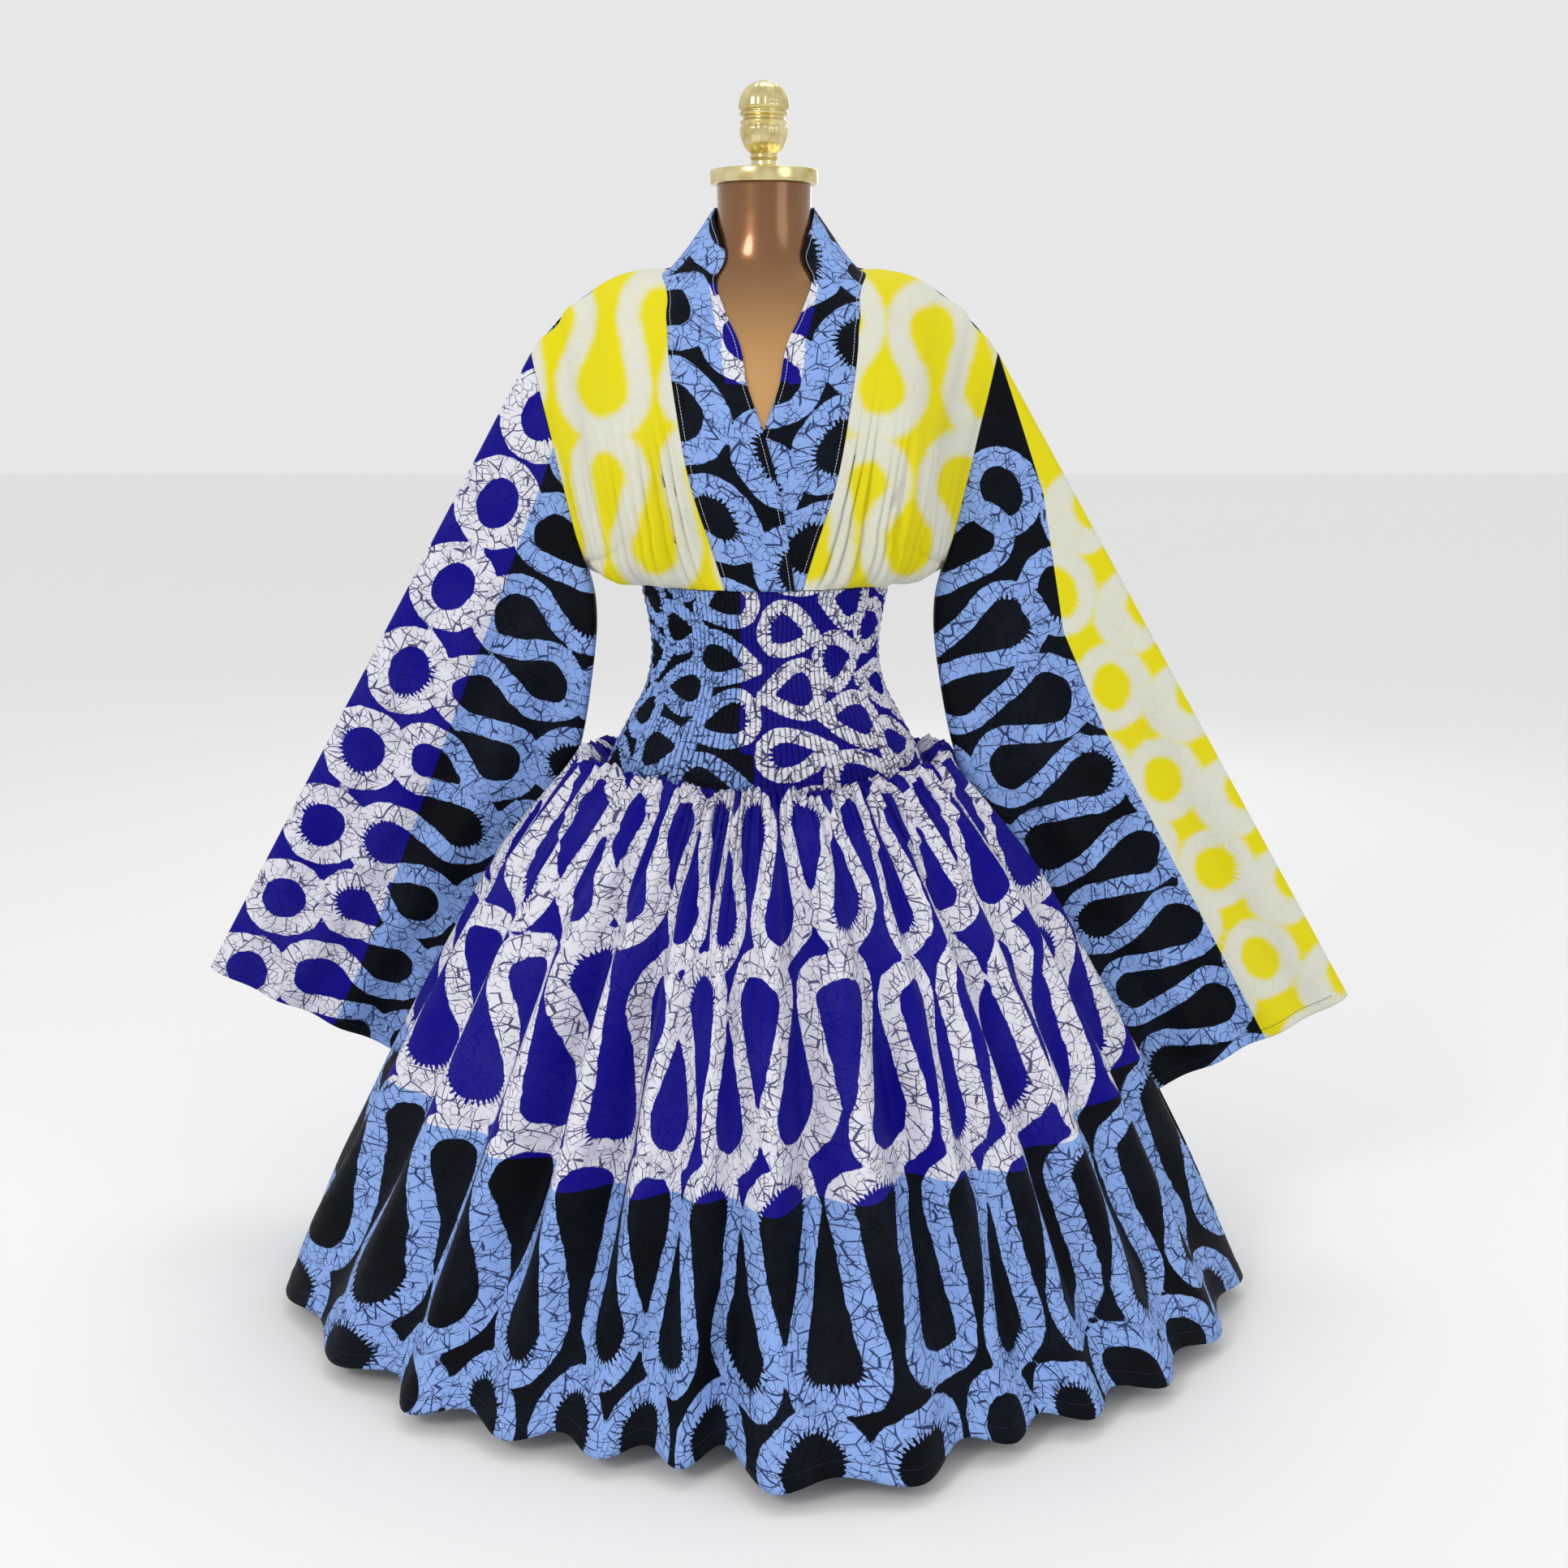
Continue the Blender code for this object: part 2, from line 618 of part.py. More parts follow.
def back_point(across, place):
    """A point of the left half of the back, from its middle to the armhole."""
    main = max(place, 1)
    share = (NECK_SIDE_ROW - main) / (NECK_SIDE_ROW - 1)
    top = back_top(across)
    drop = share ** (1 + BACK_DROP * (1 - across**2))
    low_z = mix(BACK_LOW_Z, UNDERARM_Z, across**2)
    x = mix(top.x, UNDERARM_X * across, share)
    z = mix(top.z, low_z, drop)
    fall = (1 - across**SIDE_FALL) ** SIDE_SOFTNESS
    side = armhole_depth(share)
    onset = math.sin(min(1, share / BACK_ONSET) * math.pi / 2)
    full = form_reach(z)[2] + BAND_GAP + BACK_FULLNESS * smooth_step(0, BACK_FULL_FROM, share)
    y = side + (full - side) * fall * onset + top.y * (1 - onset)
    point = Vector((x, y, z))
    if 0 < share < BACK_ONSET and across < 1:
        gap = BACK_SHOULDER_GAP * smooth_step(1, 1 - SHOULDER_FADE, across)
        point = clear_of_form(point, gap)
    if place < 1:
        point = roll_to_waist(point, 180 - 90 * across, 1 - place)
    swell = gather_wave(across, BACK_COLUMNS / 2, place) * smooth_step(1, 1 - EDGE_FADE, across)
    outward = Vector((point.x, point.y, 0)).normalized()
    return clear_of_form(point + outward * swell, BAND_GAP)


def back_inside(column, row):
    """The inside of the whole back at a column and row of its grid."""
    across = 2 * column - 1
    place = between(ROW_STOPS, row * (len(ROW_STOPS) - 1))
    point = back_point(min(abs(across), 1), place)
    return Vector((math.copysign(point.x, across), point.y + SEAM_GAP / 2, point.z))


def build_blouse_back(name, finish):
    """The back of the blouse in one piece, from one armhole to the other."""

    def outside(column, row):
        across = abs(2 * column - 1)
        side = 1 if column > 0.5 else -1
        neck = BACK_NECK_COLUMNS / BACK_COLUMNS
        if row > 1 - WELD and across < neck + WELD:
            place = max(mix(NAPE_ROW, NECK_SIDE_ROW, across / neck), NECK_SIDE_ROW)
            normal = mirrored(collar_seam_normal(place, 0), side)
        else:
            normal = normal_of(back_inside, column, row, -1)
        if across > 1 - WELD and ROW_STOPS[round(row * (len(ROW_STOPS) - 1))] >= 1:
            normal = mirrored(armhole_normal(mirrored(normal, side)), side)
        return back_inside(column, row) + normal * CLOTH

    cloth(name, BACK_COLUMNS, len(ROW_STOPS) - 1, back_inside, outside, finish)


def swing_at(height, swing):
    """How far back a sleeve hangs at a height."""
    drop = max(SHOULDER_Z - height, 0) / SWING_DROP
    return swing * drop**SWING_POWER


def sleeve_point(turn, down, grow, side, swing):
    """A point of a sleeve's flat tube, round its section and down its length.

    The back panel is the first half of a turn, and the front panel the second.
    """
    place = down * (len(SLEEVE_ROWS) - 1)
    outer_share = between([row.outer_share for row in SLEEVE_ROWS], place)
    inner_x = between([row.inner_x for row in SLEEVE_ROWS], place)
    inner_z = between([row.inner_z for row in SLEEVE_ROWS], place)
    half_depth = between([row.half_depth for row in SLEEVE_ROWS], place)
    outer = Vector((mix(SHOULDER_X, CUFF_X, outer_share), 0, mix(SHOULDER_Z, CUFF_Z, outer_share)))
    inner = Vector((inner_x, 0, inner_z))
    line = outer - inner
    power = 2 / ARMHOLE_ROUNDNESS
    along = math.copysign(abs(math.cos(turn)) ** power, math.cos(turn))
    deep = math.copysign(abs(math.sin(turn)) ** power, math.sin(turn))
    point = (outer + inner) / 2 + line.normalized() * along * (line.length / 2 + grow)
    point.x = (point.x + SEAM_GAP) * side
    point.y = deep * (half_depth + grow) + swing_at(point.z, swing)
    return point


def build_sleeve(name, side, swing, finish):
    """One wide flat sleeve, open at the armhole and the cuff: a back panel and a front one."""
    rows = SLEEVE_STEPS * (len(SLEEVE_ROWS) - 1)
    for panel, start, behind in (("back", 0, 1), ("front", math.pi, -1)):
        apart = Vector((0, behind * SEAM_GAP / 2, 0))

        def inside(column, row):
            return sleeve_point(start + column * math.pi, row, 0, side, swing) + apart

        def outside(column, row):
            return sleeve_point(start + column * math.pi, row, CLOTH, side, swing) + apart

        cloth(f"{name}_{panel}", SLEEVE_COLUMNS, rows, inside, outside, finish)


def valley(number):
    """The angle and depths of a fold's valley, counted all round from the right side seam."""
    number %= 2 * FOLDS
    if number < FOLDS:
        return FRONT_VALLEYS[number]
    back = number - FOLDS
    uneven = math.sin(back * BACK_ANGLE_WAVE) * BACK_UNEVENNESS if 0 < back < FOLDS else 0
    depth = BACK_DEPTH + BACK_DEPTH_SWING * math.sin(back * BACK_DEPTH_WAVE)
    ridge = BACK_DEPTH + BACK_RIDGE_SWING * math.sin(back * BACK_RIDGE_WAVE)
    return Valley(90 + 180 * back / FOLDS + uneven, depth, BACK_DEPTH, ridge, ridge)


def fold_angle(phase, lean):
    """The angle of a fold phase. The tuck on the right leans back, and its folds follow."""
    first = math.floor(phase)
    start = valley(first).angle
    end = valley(first + 1).angle
    if end < start:
        end += 360
    angle = mix(start, end, phase - first)
    if angle > 180:
        angle -= 360
    if angle < LEAN_FROM and angle >= -90:
        return mix(LEAN_FROM, -90 - lean, (LEAN_FROM - angle) / (90 + LEAN_FROM))
    if angle < -90:
        return mix(-180, -90 - lean, (angle + 180) / 90)
    return angle


def skirt_point(phase, down):
    """A point of the skirt. A whole phase is a valley, and a half is the ridge between."""
    place = down * (len(SKIRT_ROWS) - 1)
    row = SkirtRow(*[between(values, place) for values in zip(*SKIRT_ROWS)])
    angle = fold_angle(phase, RIGHT_LEAN)
    turn = math.radians(angle)
    across = math.sin(turn)
    ahead = math.cos(turn)
    depth = row.front if ahead > 0 else row.back
    ring = 1 / math.hypot(across / row.side, ahead / depth)
    nearest = valley(round(phase))
    fold = valley(math.floor(phase))
    lower = smooth_step(*HEM_FOLD_ROWS, place)
    dip = mix(nearest.upper_depth, nearest.hem_depth, lower)
    ridge = mix(fold.upper_ridge, fold.hem_ridge, lower)
    low = (1 + math.cos(phase * math.tau)) / 2
    reach = ring + row.fold * (ridge - (ridge + dip) * low)
    from_seam = abs((phase + FOLDS / 2) % FOLDS - FOLDS / 2)
    if from_seam < TUCK_REACH:
        crest = ring + row.fold * ridge
        reach = mix(min(row.tuck, crest), crest, (from_seam / TUCK_REACH) ** TUCK_POWER)
    reach += row.gather * math.cos(2 * phase * math.tau)
    z = row.height + row.lift * abs(across) ** 3
    z -= HEM_DIP * (1 - low) * smooth_step(*HEM_DIP_ROWS, place)
    return Vector((reach * across, -reach * ahead, z))


def build_skirt(name, first_phase, finish):
    """One half of the gathered skirt, between the side seams."""

    def inside(column, row):
        start = first_phase + SKIRT_TRIM
        return skirt_point(start + column * (FOLDS - 2 * SKIRT_TRIM), row)

    def outside(column, row):
        return inside(column, row) + normal_of(inside, column, row, -1) * CLOTH

    cloth(name, SKIRT_COLUMNS, len(SKIRT_ROWS) - 1, inside, outside, finish)


def build():
    for old in list(bpy.data.objects):
        bpy.data.objects.remove(old, do_unlink=True)
    bronze = material("form_bronze", (0.32, 0.17, 0.075), 0.18, 0.35)
    brass = material("form_brass", (0.83, 0.70, 0.38), 0.16, 1.0)
    steel = material("stand_steel", (0.55, 0.55, 0.56), 0.3, 1.0)
    yellow = material("cloth_yellow", (0.80, 0.70, 0.01), 0.8, 0)
    royal = material("cloth_royal", (0.02, 0.012, 0.25), 0.75, 0)
    black = material("cloth_black", (0.006, 0.01, 0.02), 0.75, 0)
    light_blue = material("cloth_light_blue", (0.19, 0.33, 0.75), 0.75, 0)
    build_form(bronze)
    build_stand(steel)
    build_neck_cap(brass)
    build_waist("waist_front", -90, light_blue)
    build_waist("waist_back", 90, light_blue)
    build_neckband("neckband_left", 1, 0, black)
    build_neckband("neckband_right", -1, 1, black)
    build_blouse_front("bodice_front_left", 1, 0, yellow)
    build_blouse_front("bodice_front_right", -1, 1, yellow)
    build_blouse_back("bodice_back", black)
    build_sleeve("sleeve_left", 1, 0, black)
    build_sleeve("sleeve_right", -1, RIGHT_SWING, royal)
    build_skirt("skirt_front", 0, royal)
    build_skirt("skirt_back", FOLDS, royal)


build()
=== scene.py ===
import math
from collections import namedtuple

import bmesh
import bpy
import numpy as np
from mathutils import Matrix, Vector
from mathutils.kdtree import KDTree


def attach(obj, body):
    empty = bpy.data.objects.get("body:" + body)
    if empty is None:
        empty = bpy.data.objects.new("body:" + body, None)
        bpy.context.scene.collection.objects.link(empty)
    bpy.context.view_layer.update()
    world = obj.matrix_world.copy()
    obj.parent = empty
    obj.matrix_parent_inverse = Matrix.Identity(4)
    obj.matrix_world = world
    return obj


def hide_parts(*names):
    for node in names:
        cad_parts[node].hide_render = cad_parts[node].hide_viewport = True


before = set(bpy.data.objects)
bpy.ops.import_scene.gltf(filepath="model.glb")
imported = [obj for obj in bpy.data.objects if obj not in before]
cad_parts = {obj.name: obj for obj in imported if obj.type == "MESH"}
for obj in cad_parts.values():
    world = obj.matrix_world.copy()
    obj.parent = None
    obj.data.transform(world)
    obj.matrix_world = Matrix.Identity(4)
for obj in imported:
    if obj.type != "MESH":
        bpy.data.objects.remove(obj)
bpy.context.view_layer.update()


# The room
# The dress form stands on a plain pale floor in a white studio, seen from chest height.
# Large soft lights stand in front at both sides and overhead, as for a catalogue picture.

FLOOR_SIZE = 30.0
CAMERA_PLACE = (0.021, -2.065, 1.06)
CAMERA_PITCH = 77.0
CAMERA_LENS = 42.857
SKY_STRENGTH = 0.80
Lamp = namedtuple("Lamp", "name place aim size power tint")
LAMPS = (
    Lamp("key_light", (-1.7, -2.6, 2.5), (0, 0, 0.7), 1.0, 30, (1.0, 0.98, 0.96)),
    Lamp("fill_light", (2.2, -2.2, 1.7), (0, 0, 0.6), 1.4, 7, (0.96, 0.98, 1.0)),
    Lamp("top_light", (0.2, 0.6, 3.2), (0, 0, 0.8), 1.6, 10, (1.0, 1.0, 1.0)),
    Lamp("back_light", (0.6, 3.0, 1.8), (0, 0, 0.7), 1.6, 8, (1.0, 1.0, 1.0)),
)


def paint(red, green, blue):
    """A colour as it is seen, 0 to 255, turned into the light that the shader works with."""
    seen = np.array([red, green, blue]) / 255
    light = np.where(seen > 0.04045, ((seen + 0.055) / 1.055) ** 2.4, seen / 12.92)
    return (*[float(value) for value in light], 1.0)


def mesh_of(bm, name):
    """Turns what was modelled into a mesh."""
    mesh = bpy.data.meshes.new(name)
    bm.to_mesh(mesh)
    bm.free()
    return mesh


camera = bpy.data.objects.new("camera", bpy.data.cameras.new("camera"))
camera.data.lens = CAMERA_LENS
camera.data.sensor_width = 36.0
camera.data.clip_start = 0.05
camera.location = CAMERA_PLACE
camera.rotation_euler = (math.radians(CAMERA_PITCH), 0, 0)
bpy.context.scene.collection.objects.link(camera)
bpy.context.scene.camera = camera

for row in LAMPS:
    light = bpy.data.lights.new(row.name, "AREA")
    light.shape = "DISK"
    light.size = row.size
    light.energy = row.power
    light.color = row.tint
    lamp = bpy.data.objects.new(row.name, light)
    lamp.location = row.place
    aim = Vector(row.aim) - Vector(row.place)
    lamp.rotation_euler = aim.to_track_quat("-Z", "Y").to_euler()
    bpy.context.scene.collection.objects.link(lamp)

world = bpy.data.worlds.new("studio")
world.use_nodes = True
world.node_tree.nodes["Background"].inputs["Color"].default_value = (1, 1, 1, 1)
world.node_tree.nodes["Background"].inputs["Strength"].default_value = SKY_STRENGTH
bpy.context.scene.world = world
bpy.context.scene.view_settings.view_transform = "Standard"

bm = bmesh.new()
bmesh.ops.create_grid(bm, x_segments=2, y_segments=2, size=FLOOR_SIZE / 2)
floor = bpy.data.objects.new("floor", mesh_of(bm, "floor"))
bpy.context.scene.collection.objects.link(floor)
floor_paint = bpy.data.materials.new("pale_floor")
floor_paint.use_nodes = True
nodes, links = floor_paint.node_tree.nodes, floor_paint.node_tree.links
shader = nodes["Principled BSDF"]
shader.inputs["Roughness"].default_value = 0.75
mottle = nodes.new("ShaderNodeTexNoise")
mottle.inputs["Scale"].default_value = 3.0
tint = nodes.new("ShaderNodeMapRange")
tint.inputs["To Min"].default_value = 0.91
tint.inputs["To Max"].default_value = 0.94
links.new(mottle.outputs["Fac"], tint.inputs["Value"])
links.new(tint.outputs["Result"], shader.inputs["Base Color"])
floor.data.materials.append(floor_paint)


# The dress form
# A limbless women's display torso: a fibreglass shell, filled, sanded and sprayed in a glossy
# bronze-brown, with a straight neck. Only the neck and the chest show above the neckband.

FormRow = namedtuple("FormRow", "height half_width front back")
FORM_ROWS = (
    FormRow(1.2327, 0.0500, 0.0500, 0.0500),
    FormRow(1.1950, 0.0505, 0.0510, 0.0520),
    FormRow(1.1720, 0.0550, 0.0530, 0.0580),
    FormRow(1.1550, 0.0680, 0.0560, 0.0600),
    FormRow(1.1460, 0.0890, 0.0590, 0.0640),
    FormRow(1.1380, 0.1150, 0.0640, 0.0690),
    FormRow(1.1270, 0.1420, 0.0715, 0.0750),
    FormRow(1.1080, 0.1660, 0.0840, 0.0830),
    FormRow(1.0780, 0.1830, 0.1010, 0.0910),
    FormRow(1.0300, 0.1830, 0.1160, 0.0950),
    FormRow(0.9850, 0.1760, 0.1270, 0.0960),
    FormRow(0.9450, 0.1690, 0.1290, 0.0940),
    FormRow(0.9050, 0.1600, 0.1220, 0.0900),
    FormRow(0.8650, 0.1480, 0.1100, 0.0860),
    FormRow(0.8150, 0.1340, 0.1000, 0.0820),
    FormRow(0.7750, 0.1255, 0.0960, 0.0820),
    FormRow(0.7380, 0.1225, 0.0950, 0.0840),
    FormRow(0.7000, 0.1295, 0.1010, 0.0920),
    FormRow(0.6600, 0.1500, 0.1130, 0.1040),
    FormRow(0.6200, 0.1705, 0.1265, 0.1180),
    FormRow(0.6020, 0.1775, 0.1320, 0.1240),
    FormRow(0.5650, 0.1830, 0.1370, 0.1300),
    FormRow(0.5520, 0.1740, 0.1290, 0.1220),
)
FORM_TABLE = np.array(FORM_ROWS)[::-1]
FORM_SIDES = 120
FORM_LEVELS = 130
WELD = 0.00005
CHEST_HEIGHT = 1.02
NECK_HEIGHT = 1.17


def mix(a, b, share):
    return a + (b - a) * share


def smooth_step(low, high, value):
    share = np.clip((np.asarray(value, float) - low) / (high - low), 0, 1)
    return share * share * (3 - 2 * share)


def curve_at(stops, values, place):
    """A smooth curve through values at uneven stops, which must rise."""
    lean = np.gradient(values, stops)
    first = np.clip(np.searchsorted(stops, place, "right") - 1, 0, len(stops) - 2)
    width = stops[first + 1] - stops[first]
    part = np.clip((place - stops[first]) / width, 0, 1)
    rise = part * part * (3 - 2 * part)
    start_bend = part * (1 - part) ** 2 * width
    end_bend = part * part * (part - 1) * width
    level = mix(values[first], values[first + 1], rise)
    return level + start_bend * lean[first] + end_bend * lean[first + 1]


def form_reach(height):
    """The half width, front and back depth of the form at each height."""
    stops = FORM_TABLE[:, 0]
    return [curve_at(stops, FORM_TABLE[:, i], height) for i in (1, 2, 3)]


def on_form(angle, height, gap):
    """Points a gap outside the form, at angles in degrees from its front."""
    half_width, front, back = form_reach(height)
    turn = np.radians(angle)
    depth = np.where(np.cos(turn) > 0, front, back)
    x = (half_width + gap) * np.sin(turn)
    y = -(depth + gap) * np.cos(turn)
    return np.stack(np.broadcast_arrays(x, y, height), axis=-1)


def finished(name, mesh, material):
    """A piece of the model from its mesh, smooth, in its material, on the standing part."""
    mesh.name = name
    mesh.materials.append(material)
    mesh.shade_smooth()
    made = bpy.data.objects.new(name, mesh)
    bpy.context.scene.collection.objects.link(made)
    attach(made, "root")
    return made


def new_material(name, roughness, metallic=0.0):
    """A material and its main shader."""
    material = bpy.data.materials.new(name)
    material.use_nodes = True
    shader = material.node_tree.nodes["Principled BSDF"]
    shader.inputs["Roughness"].default_value = roughness
    shader.inputs["Metallic"].default_value = metallic
    return material, shader


def node(material, kind, settings=None, **inputs):
    """Adds a node. An input is a value or another node's output."""
    made = material.node_tree.nodes.new("ShaderNode" + kind)
    for key, value in (settings or {}).items():
        setattr(made, key, value)
    for key, value in inputs.items():
        place = int(key[1:]) if key[0] == "i" and key[1:].isdigit() else key.replace("_", " ")
        socket = made.inputs[place]
        if isinstance(value, bpy.types.NodeSocket):
            material.node_tree.links.new(value, socket)
        else:
            socket.default_value = value
    return made


def plug(material, output, socket):
    material.node_tree.links.new(output, socket)


def tones(material, factor, dark, light, low=0.0, high=1.0):
    """Two colours, blended where the factor is between low and high."""
    ramp = node(material, "ValToRGB", Fac=factor)
    for element, place, colour in zip(ramp.color_ramp.elements, (low, high), (dark, light)):
        element.position = place
        element.color = colour
    return ramp.outputs["Color"]


def add_bump(material, shader, height, strength, distance):
    bump = node(material, "Bump", Strength=strength, Distance=distance, Height=height)
    plug(material, bump.outputs["Normal"], shader.inputs["Normal"])


bronze, shader = new_material("glossy_bronze_paint", 0.2, 0.62)
place = node(bronze, "TexCoord").outputs["Object"]
cloud = node(bronze, "TexNoise", Vector=place, Scale=9.0, Detail=3.0)
fleck = node(bronze, "TexNoise", Vector=place, Scale=900.0, Detail=1.0)
tone = tones(bronze, cloud.outputs["Fac"], paint(122, 80, 44), paint(138, 92, 52), 0.3, 0.7)
# Painted light: the base colour lightens from the darker neck down to a pale golden chest, standing
# in for the lamps lighting the chest more than the neck.
height = node(bronze, "SeparateXYZ", Vector=place).outputs["Z"]
chest = node(
    bronze, "MapRange", {"interpolation_type": "SMOOTHSTEP"}, Value=height,
    From_Min=CHEST_HEIGHT, From_Max=NECK_HEIGHT, To_Min=1.0, To_Max=0.0,
).outputs["Result"]
tone_with_painted_light = node(
    bronze, "Mix", {"data_type": "RGBA"}, Factor=chest, i6=tone, i7=paint(206, 158, 98),
).outputs[2]
plug(bronze, tone_with_painted_light, shader.inputs["Base Color"])
gloss = node(bronze, "MapRange", Value=cloud.outputs["Fac"], To_Min=0.2, To_Max=0.3)
plug(bronze, gloss.outputs["Result"], shader.inputs["Roughness"])
add_bump(bronze, shader, fleck.outputs["Fac"], 0.04, 0.0002)
shader.inputs["Coat Weight"].default_value = 0.55
shader.inputs["Coat Roughness"].default_value = 0.08

bm = bmesh.new()
bmesh.ops.create_cone(bm, segments=FORM_SIDES, radius1=1, radius2=1, depth=1, cap_ends=False)
uprights = [edge for edge in bm.edges if abs(edge.verts[0].co.z - edge.verts[1].co.z) > 0.5]
bmesh.ops.subdivide_edges(bm, edges=uprights, cuts=FORM_LEVELS - 1, use_grid_fill=False)
low, high = FORM_TABLE[0, 0], FORM_TABLE[-1, 0]
spots = np.array([vert.co for vert in bm.verts])
angles = np.degrees(np.arctan2(spots[:, 0], -spots[:, 1]))
for vert, spot in zip(bm.verts, on_form(angles, mix(low, high, spots[:, 2] + 0.5), 0)):
    vert.co = spot
ends = [edge for edge in bm.edges if edge.is_boundary]
bmesh.ops.holes_fill(bm, edges=ends, sides=0)
bmesh.ops.recalc_face_normals(bm, faces=bm.faces)
torso = finished("torso", mesh_of(bm, "torso"), bronze)
torso.data.set_sharp_from_angle(angle=math.radians(50))
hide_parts("form_torso")


# The neck cap and the finial
# The cap is a turned disc of polished brass that closes the neck. The finial is cast in brass,
# turned, with fluted bulbs, and screws into the cap; it is the handle that lifts the form.

CAP_RADIUS = 0.057
CAP_BOTTOM = 1.2330
CAP_TOP = 1.2480
CAP_EDGE = 0.0018
CAP_RIM = 0.006
CAP_STEP = 0.0012
CAP_SINK = 0.0008
FINIAL_BOTTOM = CAP_TOP + 0.0003
FINIAL_STEPS = 96
FINIAL_LEVELS = 120
FLUTES = 16
FLUTE_DEPTH = 0.0011
FinialRow = namedtuple("FinialRow", "height radius fluted")
FINIAL_ROWS = (
    FinialRow(FINIAL_BOTTOM, 0.0172, 0),
    FinialRow(1.2500, 0.0175, 0),
    FinialRow(1.2510, 0.0168, 0),
    FinialRow(1.2522, 0.0145, 0),
    FinialRow(1.2545, 0.0138, 0),
    FinialRow(1.2575, 0.0136, 0),
    FinialRow(1.2600, 0.0150, 0),
    FinialRow(1.2615, 0.0150, 0),
    FinialRow(1.2632, 0.0140, 0),
    FinialRow(1.2660, 0.0162, 0.2),
    FinialRow(1.2700, 0.0200, 1),
    FinialRow(1.2780, 0.0240, 1),
    FinialRow(1.2850, 0.0256, 1),
    FinialRow(1.2900, 0.0254, 1),
    FinialRow(1.2925, 0.0235, 0.2),
    FinialRow(1.2945, 0.0250, 0),
    FinialRow(1.2965, 0.0250, 0),
    FinialRow(1.2985, 0.0222, 0),
    FinialRow(1.3010, 0.0220, 0),
    FinialRow(1.3030, 0.0252, 0),
    FinialRow(1.3052, 0.0254, 0),
    FinialRow(1.3068, 0.0238, 0.2),
    FinialRow(1.3090, 0.0262, 1),
    FinialRow(1.3150, 0.0264, 1),
    FinialRow(1.3210, 0.0250, 1),
    FinialRow(1.3270, 0.0215, 1),
    FinialRow(1.3320, 0.0168, 1),
    FinialRow(1.3350, 0.0110, 0.5),
    FinialRow(1.3368, 0.0062, 0),
    FinialRow(1.3378, 0.0030, 0),
)

brass, shader = new_material("polished_pale_brass", 0.16, 1.0)
place = node(brass, "TexCoord").outputs["Object"]
tarnish = node(brass, "TexNoise", Vector=place, Scale=38.0, Detail=4.0)
tarnished, polished = paint(196, 176, 112), paint(232, 220, 168)
tone = tones(brass, tarnish.outputs["Fac"], tarnished, polished, 0.35, 0.62)
plug(brass, tone, shader.inputs["Base Color"])
dull = node(brass, "MapRange", Value=tarnish.outputs["Fac"], To_Min=0.12, To_Max=0.3)
plug(brass, dull.outputs["Result"], shader.inputs["Roughness"])
grain = node(brass, "TexNoise", Vector=place, Scale=420.0, Detail=2.0)
add_bump(brass, shader, grain.outputs["Fac"], 0.08, 0.0004)

bm = bmesh.new()
cap_depth = CAP_TOP - CAP_BOTTOM
bmesh.ops.create_cone(
    bm, segments=96, radius1=CAP_RADIUS, radius2=CAP_RADIUS, depth=cap_depth, cap_ends=True
)
rims = [edge for edge in bm.edges if any(len(face.verts) > 4 for face in edge.link_faces)]
bmesh.ops.bevel(
    bm, geom=rims, offset=CAP_EDGE, segments=3, profile=0.5, affect="EDGES", material=-1
)
tops = [face for face in bm.faces if len(face.verts) > 4 and face.normal.z > 0.9]
bmesh.ops.inset_region(bm, faces=tops, thickness=CAP_RIM, depth=0)
bmesh.ops.inset_region(bm, faces=tops, thickness=CAP_STEP, depth=-CAP_SINK)
bmesh.ops.translate(bm, verts=bm.verts, vec=(0, 0, (CAP_TOP + CAP_BOTTOM) / 2))
neck_cap = finished("neck_cap", mesh_of(bm, "neck_cap"), brass)
neck_cap.data.set_sharp_from_angle(angle=math.radians(35))
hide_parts("form_neck_cap")

finial_table = np.array(FINIAL_ROWS)
heights = np.linspace(FINIAL_BOTTOM, FINIAL_ROWS[-1].height, FINIAL_LEVELS)
radii = curve_at(finial_table[:, 0], finial_table[:, 1], heights)
bm = bmesh.new()
profile = [bm.verts.new((0, 0, heights[0]))]
profile += [bm.verts.new((radius, 0, height)) for radius, height in zip(radii, heights)]
profile.append(bm.verts.new((0, 0, FINIAL_ROWS[-1].height + 0.0002)))
edges = [bm.edges.new(pair) for pair in zip(profile, profile[1:])]
bmesh.ops.spin(
    bm, geom=profile + edges, cent=(0, 0, 0), axis=(0, 0, 1), angle=math.tau,
    steps=FINIAL_STEPS, use_merge=True,
)
bmesh.ops.remove_doubles(bm, verts=bm.verts, dist=WELD)
for vert in bm.verts:
    fluted = np.interp(vert.co.z, finial_table[:, 0], finial_table[:, 2])
    turn = math.atan2(vert.co.y, vert.co.x)
    reach = math.hypot(vert.co.x, vert.co.y)
    if reach > 0.002:
        groove = abs(math.sin(turn * FLUTES / 2)) - 1
        vert.co.xy *= 1 + fluted * FLUTE_DEPTH * groove / reach
bmesh.ops.recalc_face_normals(bm, faces=bm.faces)
finial = finished("finial", mesh_of(bm, "finial"), brass)
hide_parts("form_finial")


# The stand
# A steel pole screwed into a weighted round steel base, both hidden by the skirt. They keep
# the shape they have in the model and get a brushed finish.

steel, shader = new_material("brushed_steel", 0.32, 1.0)
place = node(steel, "TexCoord").outputs["Object"]
stretch = node(steel, "Mapping", Vector=place, Scale=(40.0, 40.0, 900.0))
brushing = node(steel, "TexNoise", Vector=stretch.outputs["Vector"], Scale=1.0, Detail=3.0)
tone = tones(steel, brushing.outputs["Fac"], paint(176, 177, 180), paint(208, 209, 212))
plug(steel, tone, shader.inputs["Base Color"])
add_bump(steel, shader, brushing.outputs["Fac"], 0.1, 0.0002)
for name in ("form_pole", "form_base"):
    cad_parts[name].material_slots[0].material = steel


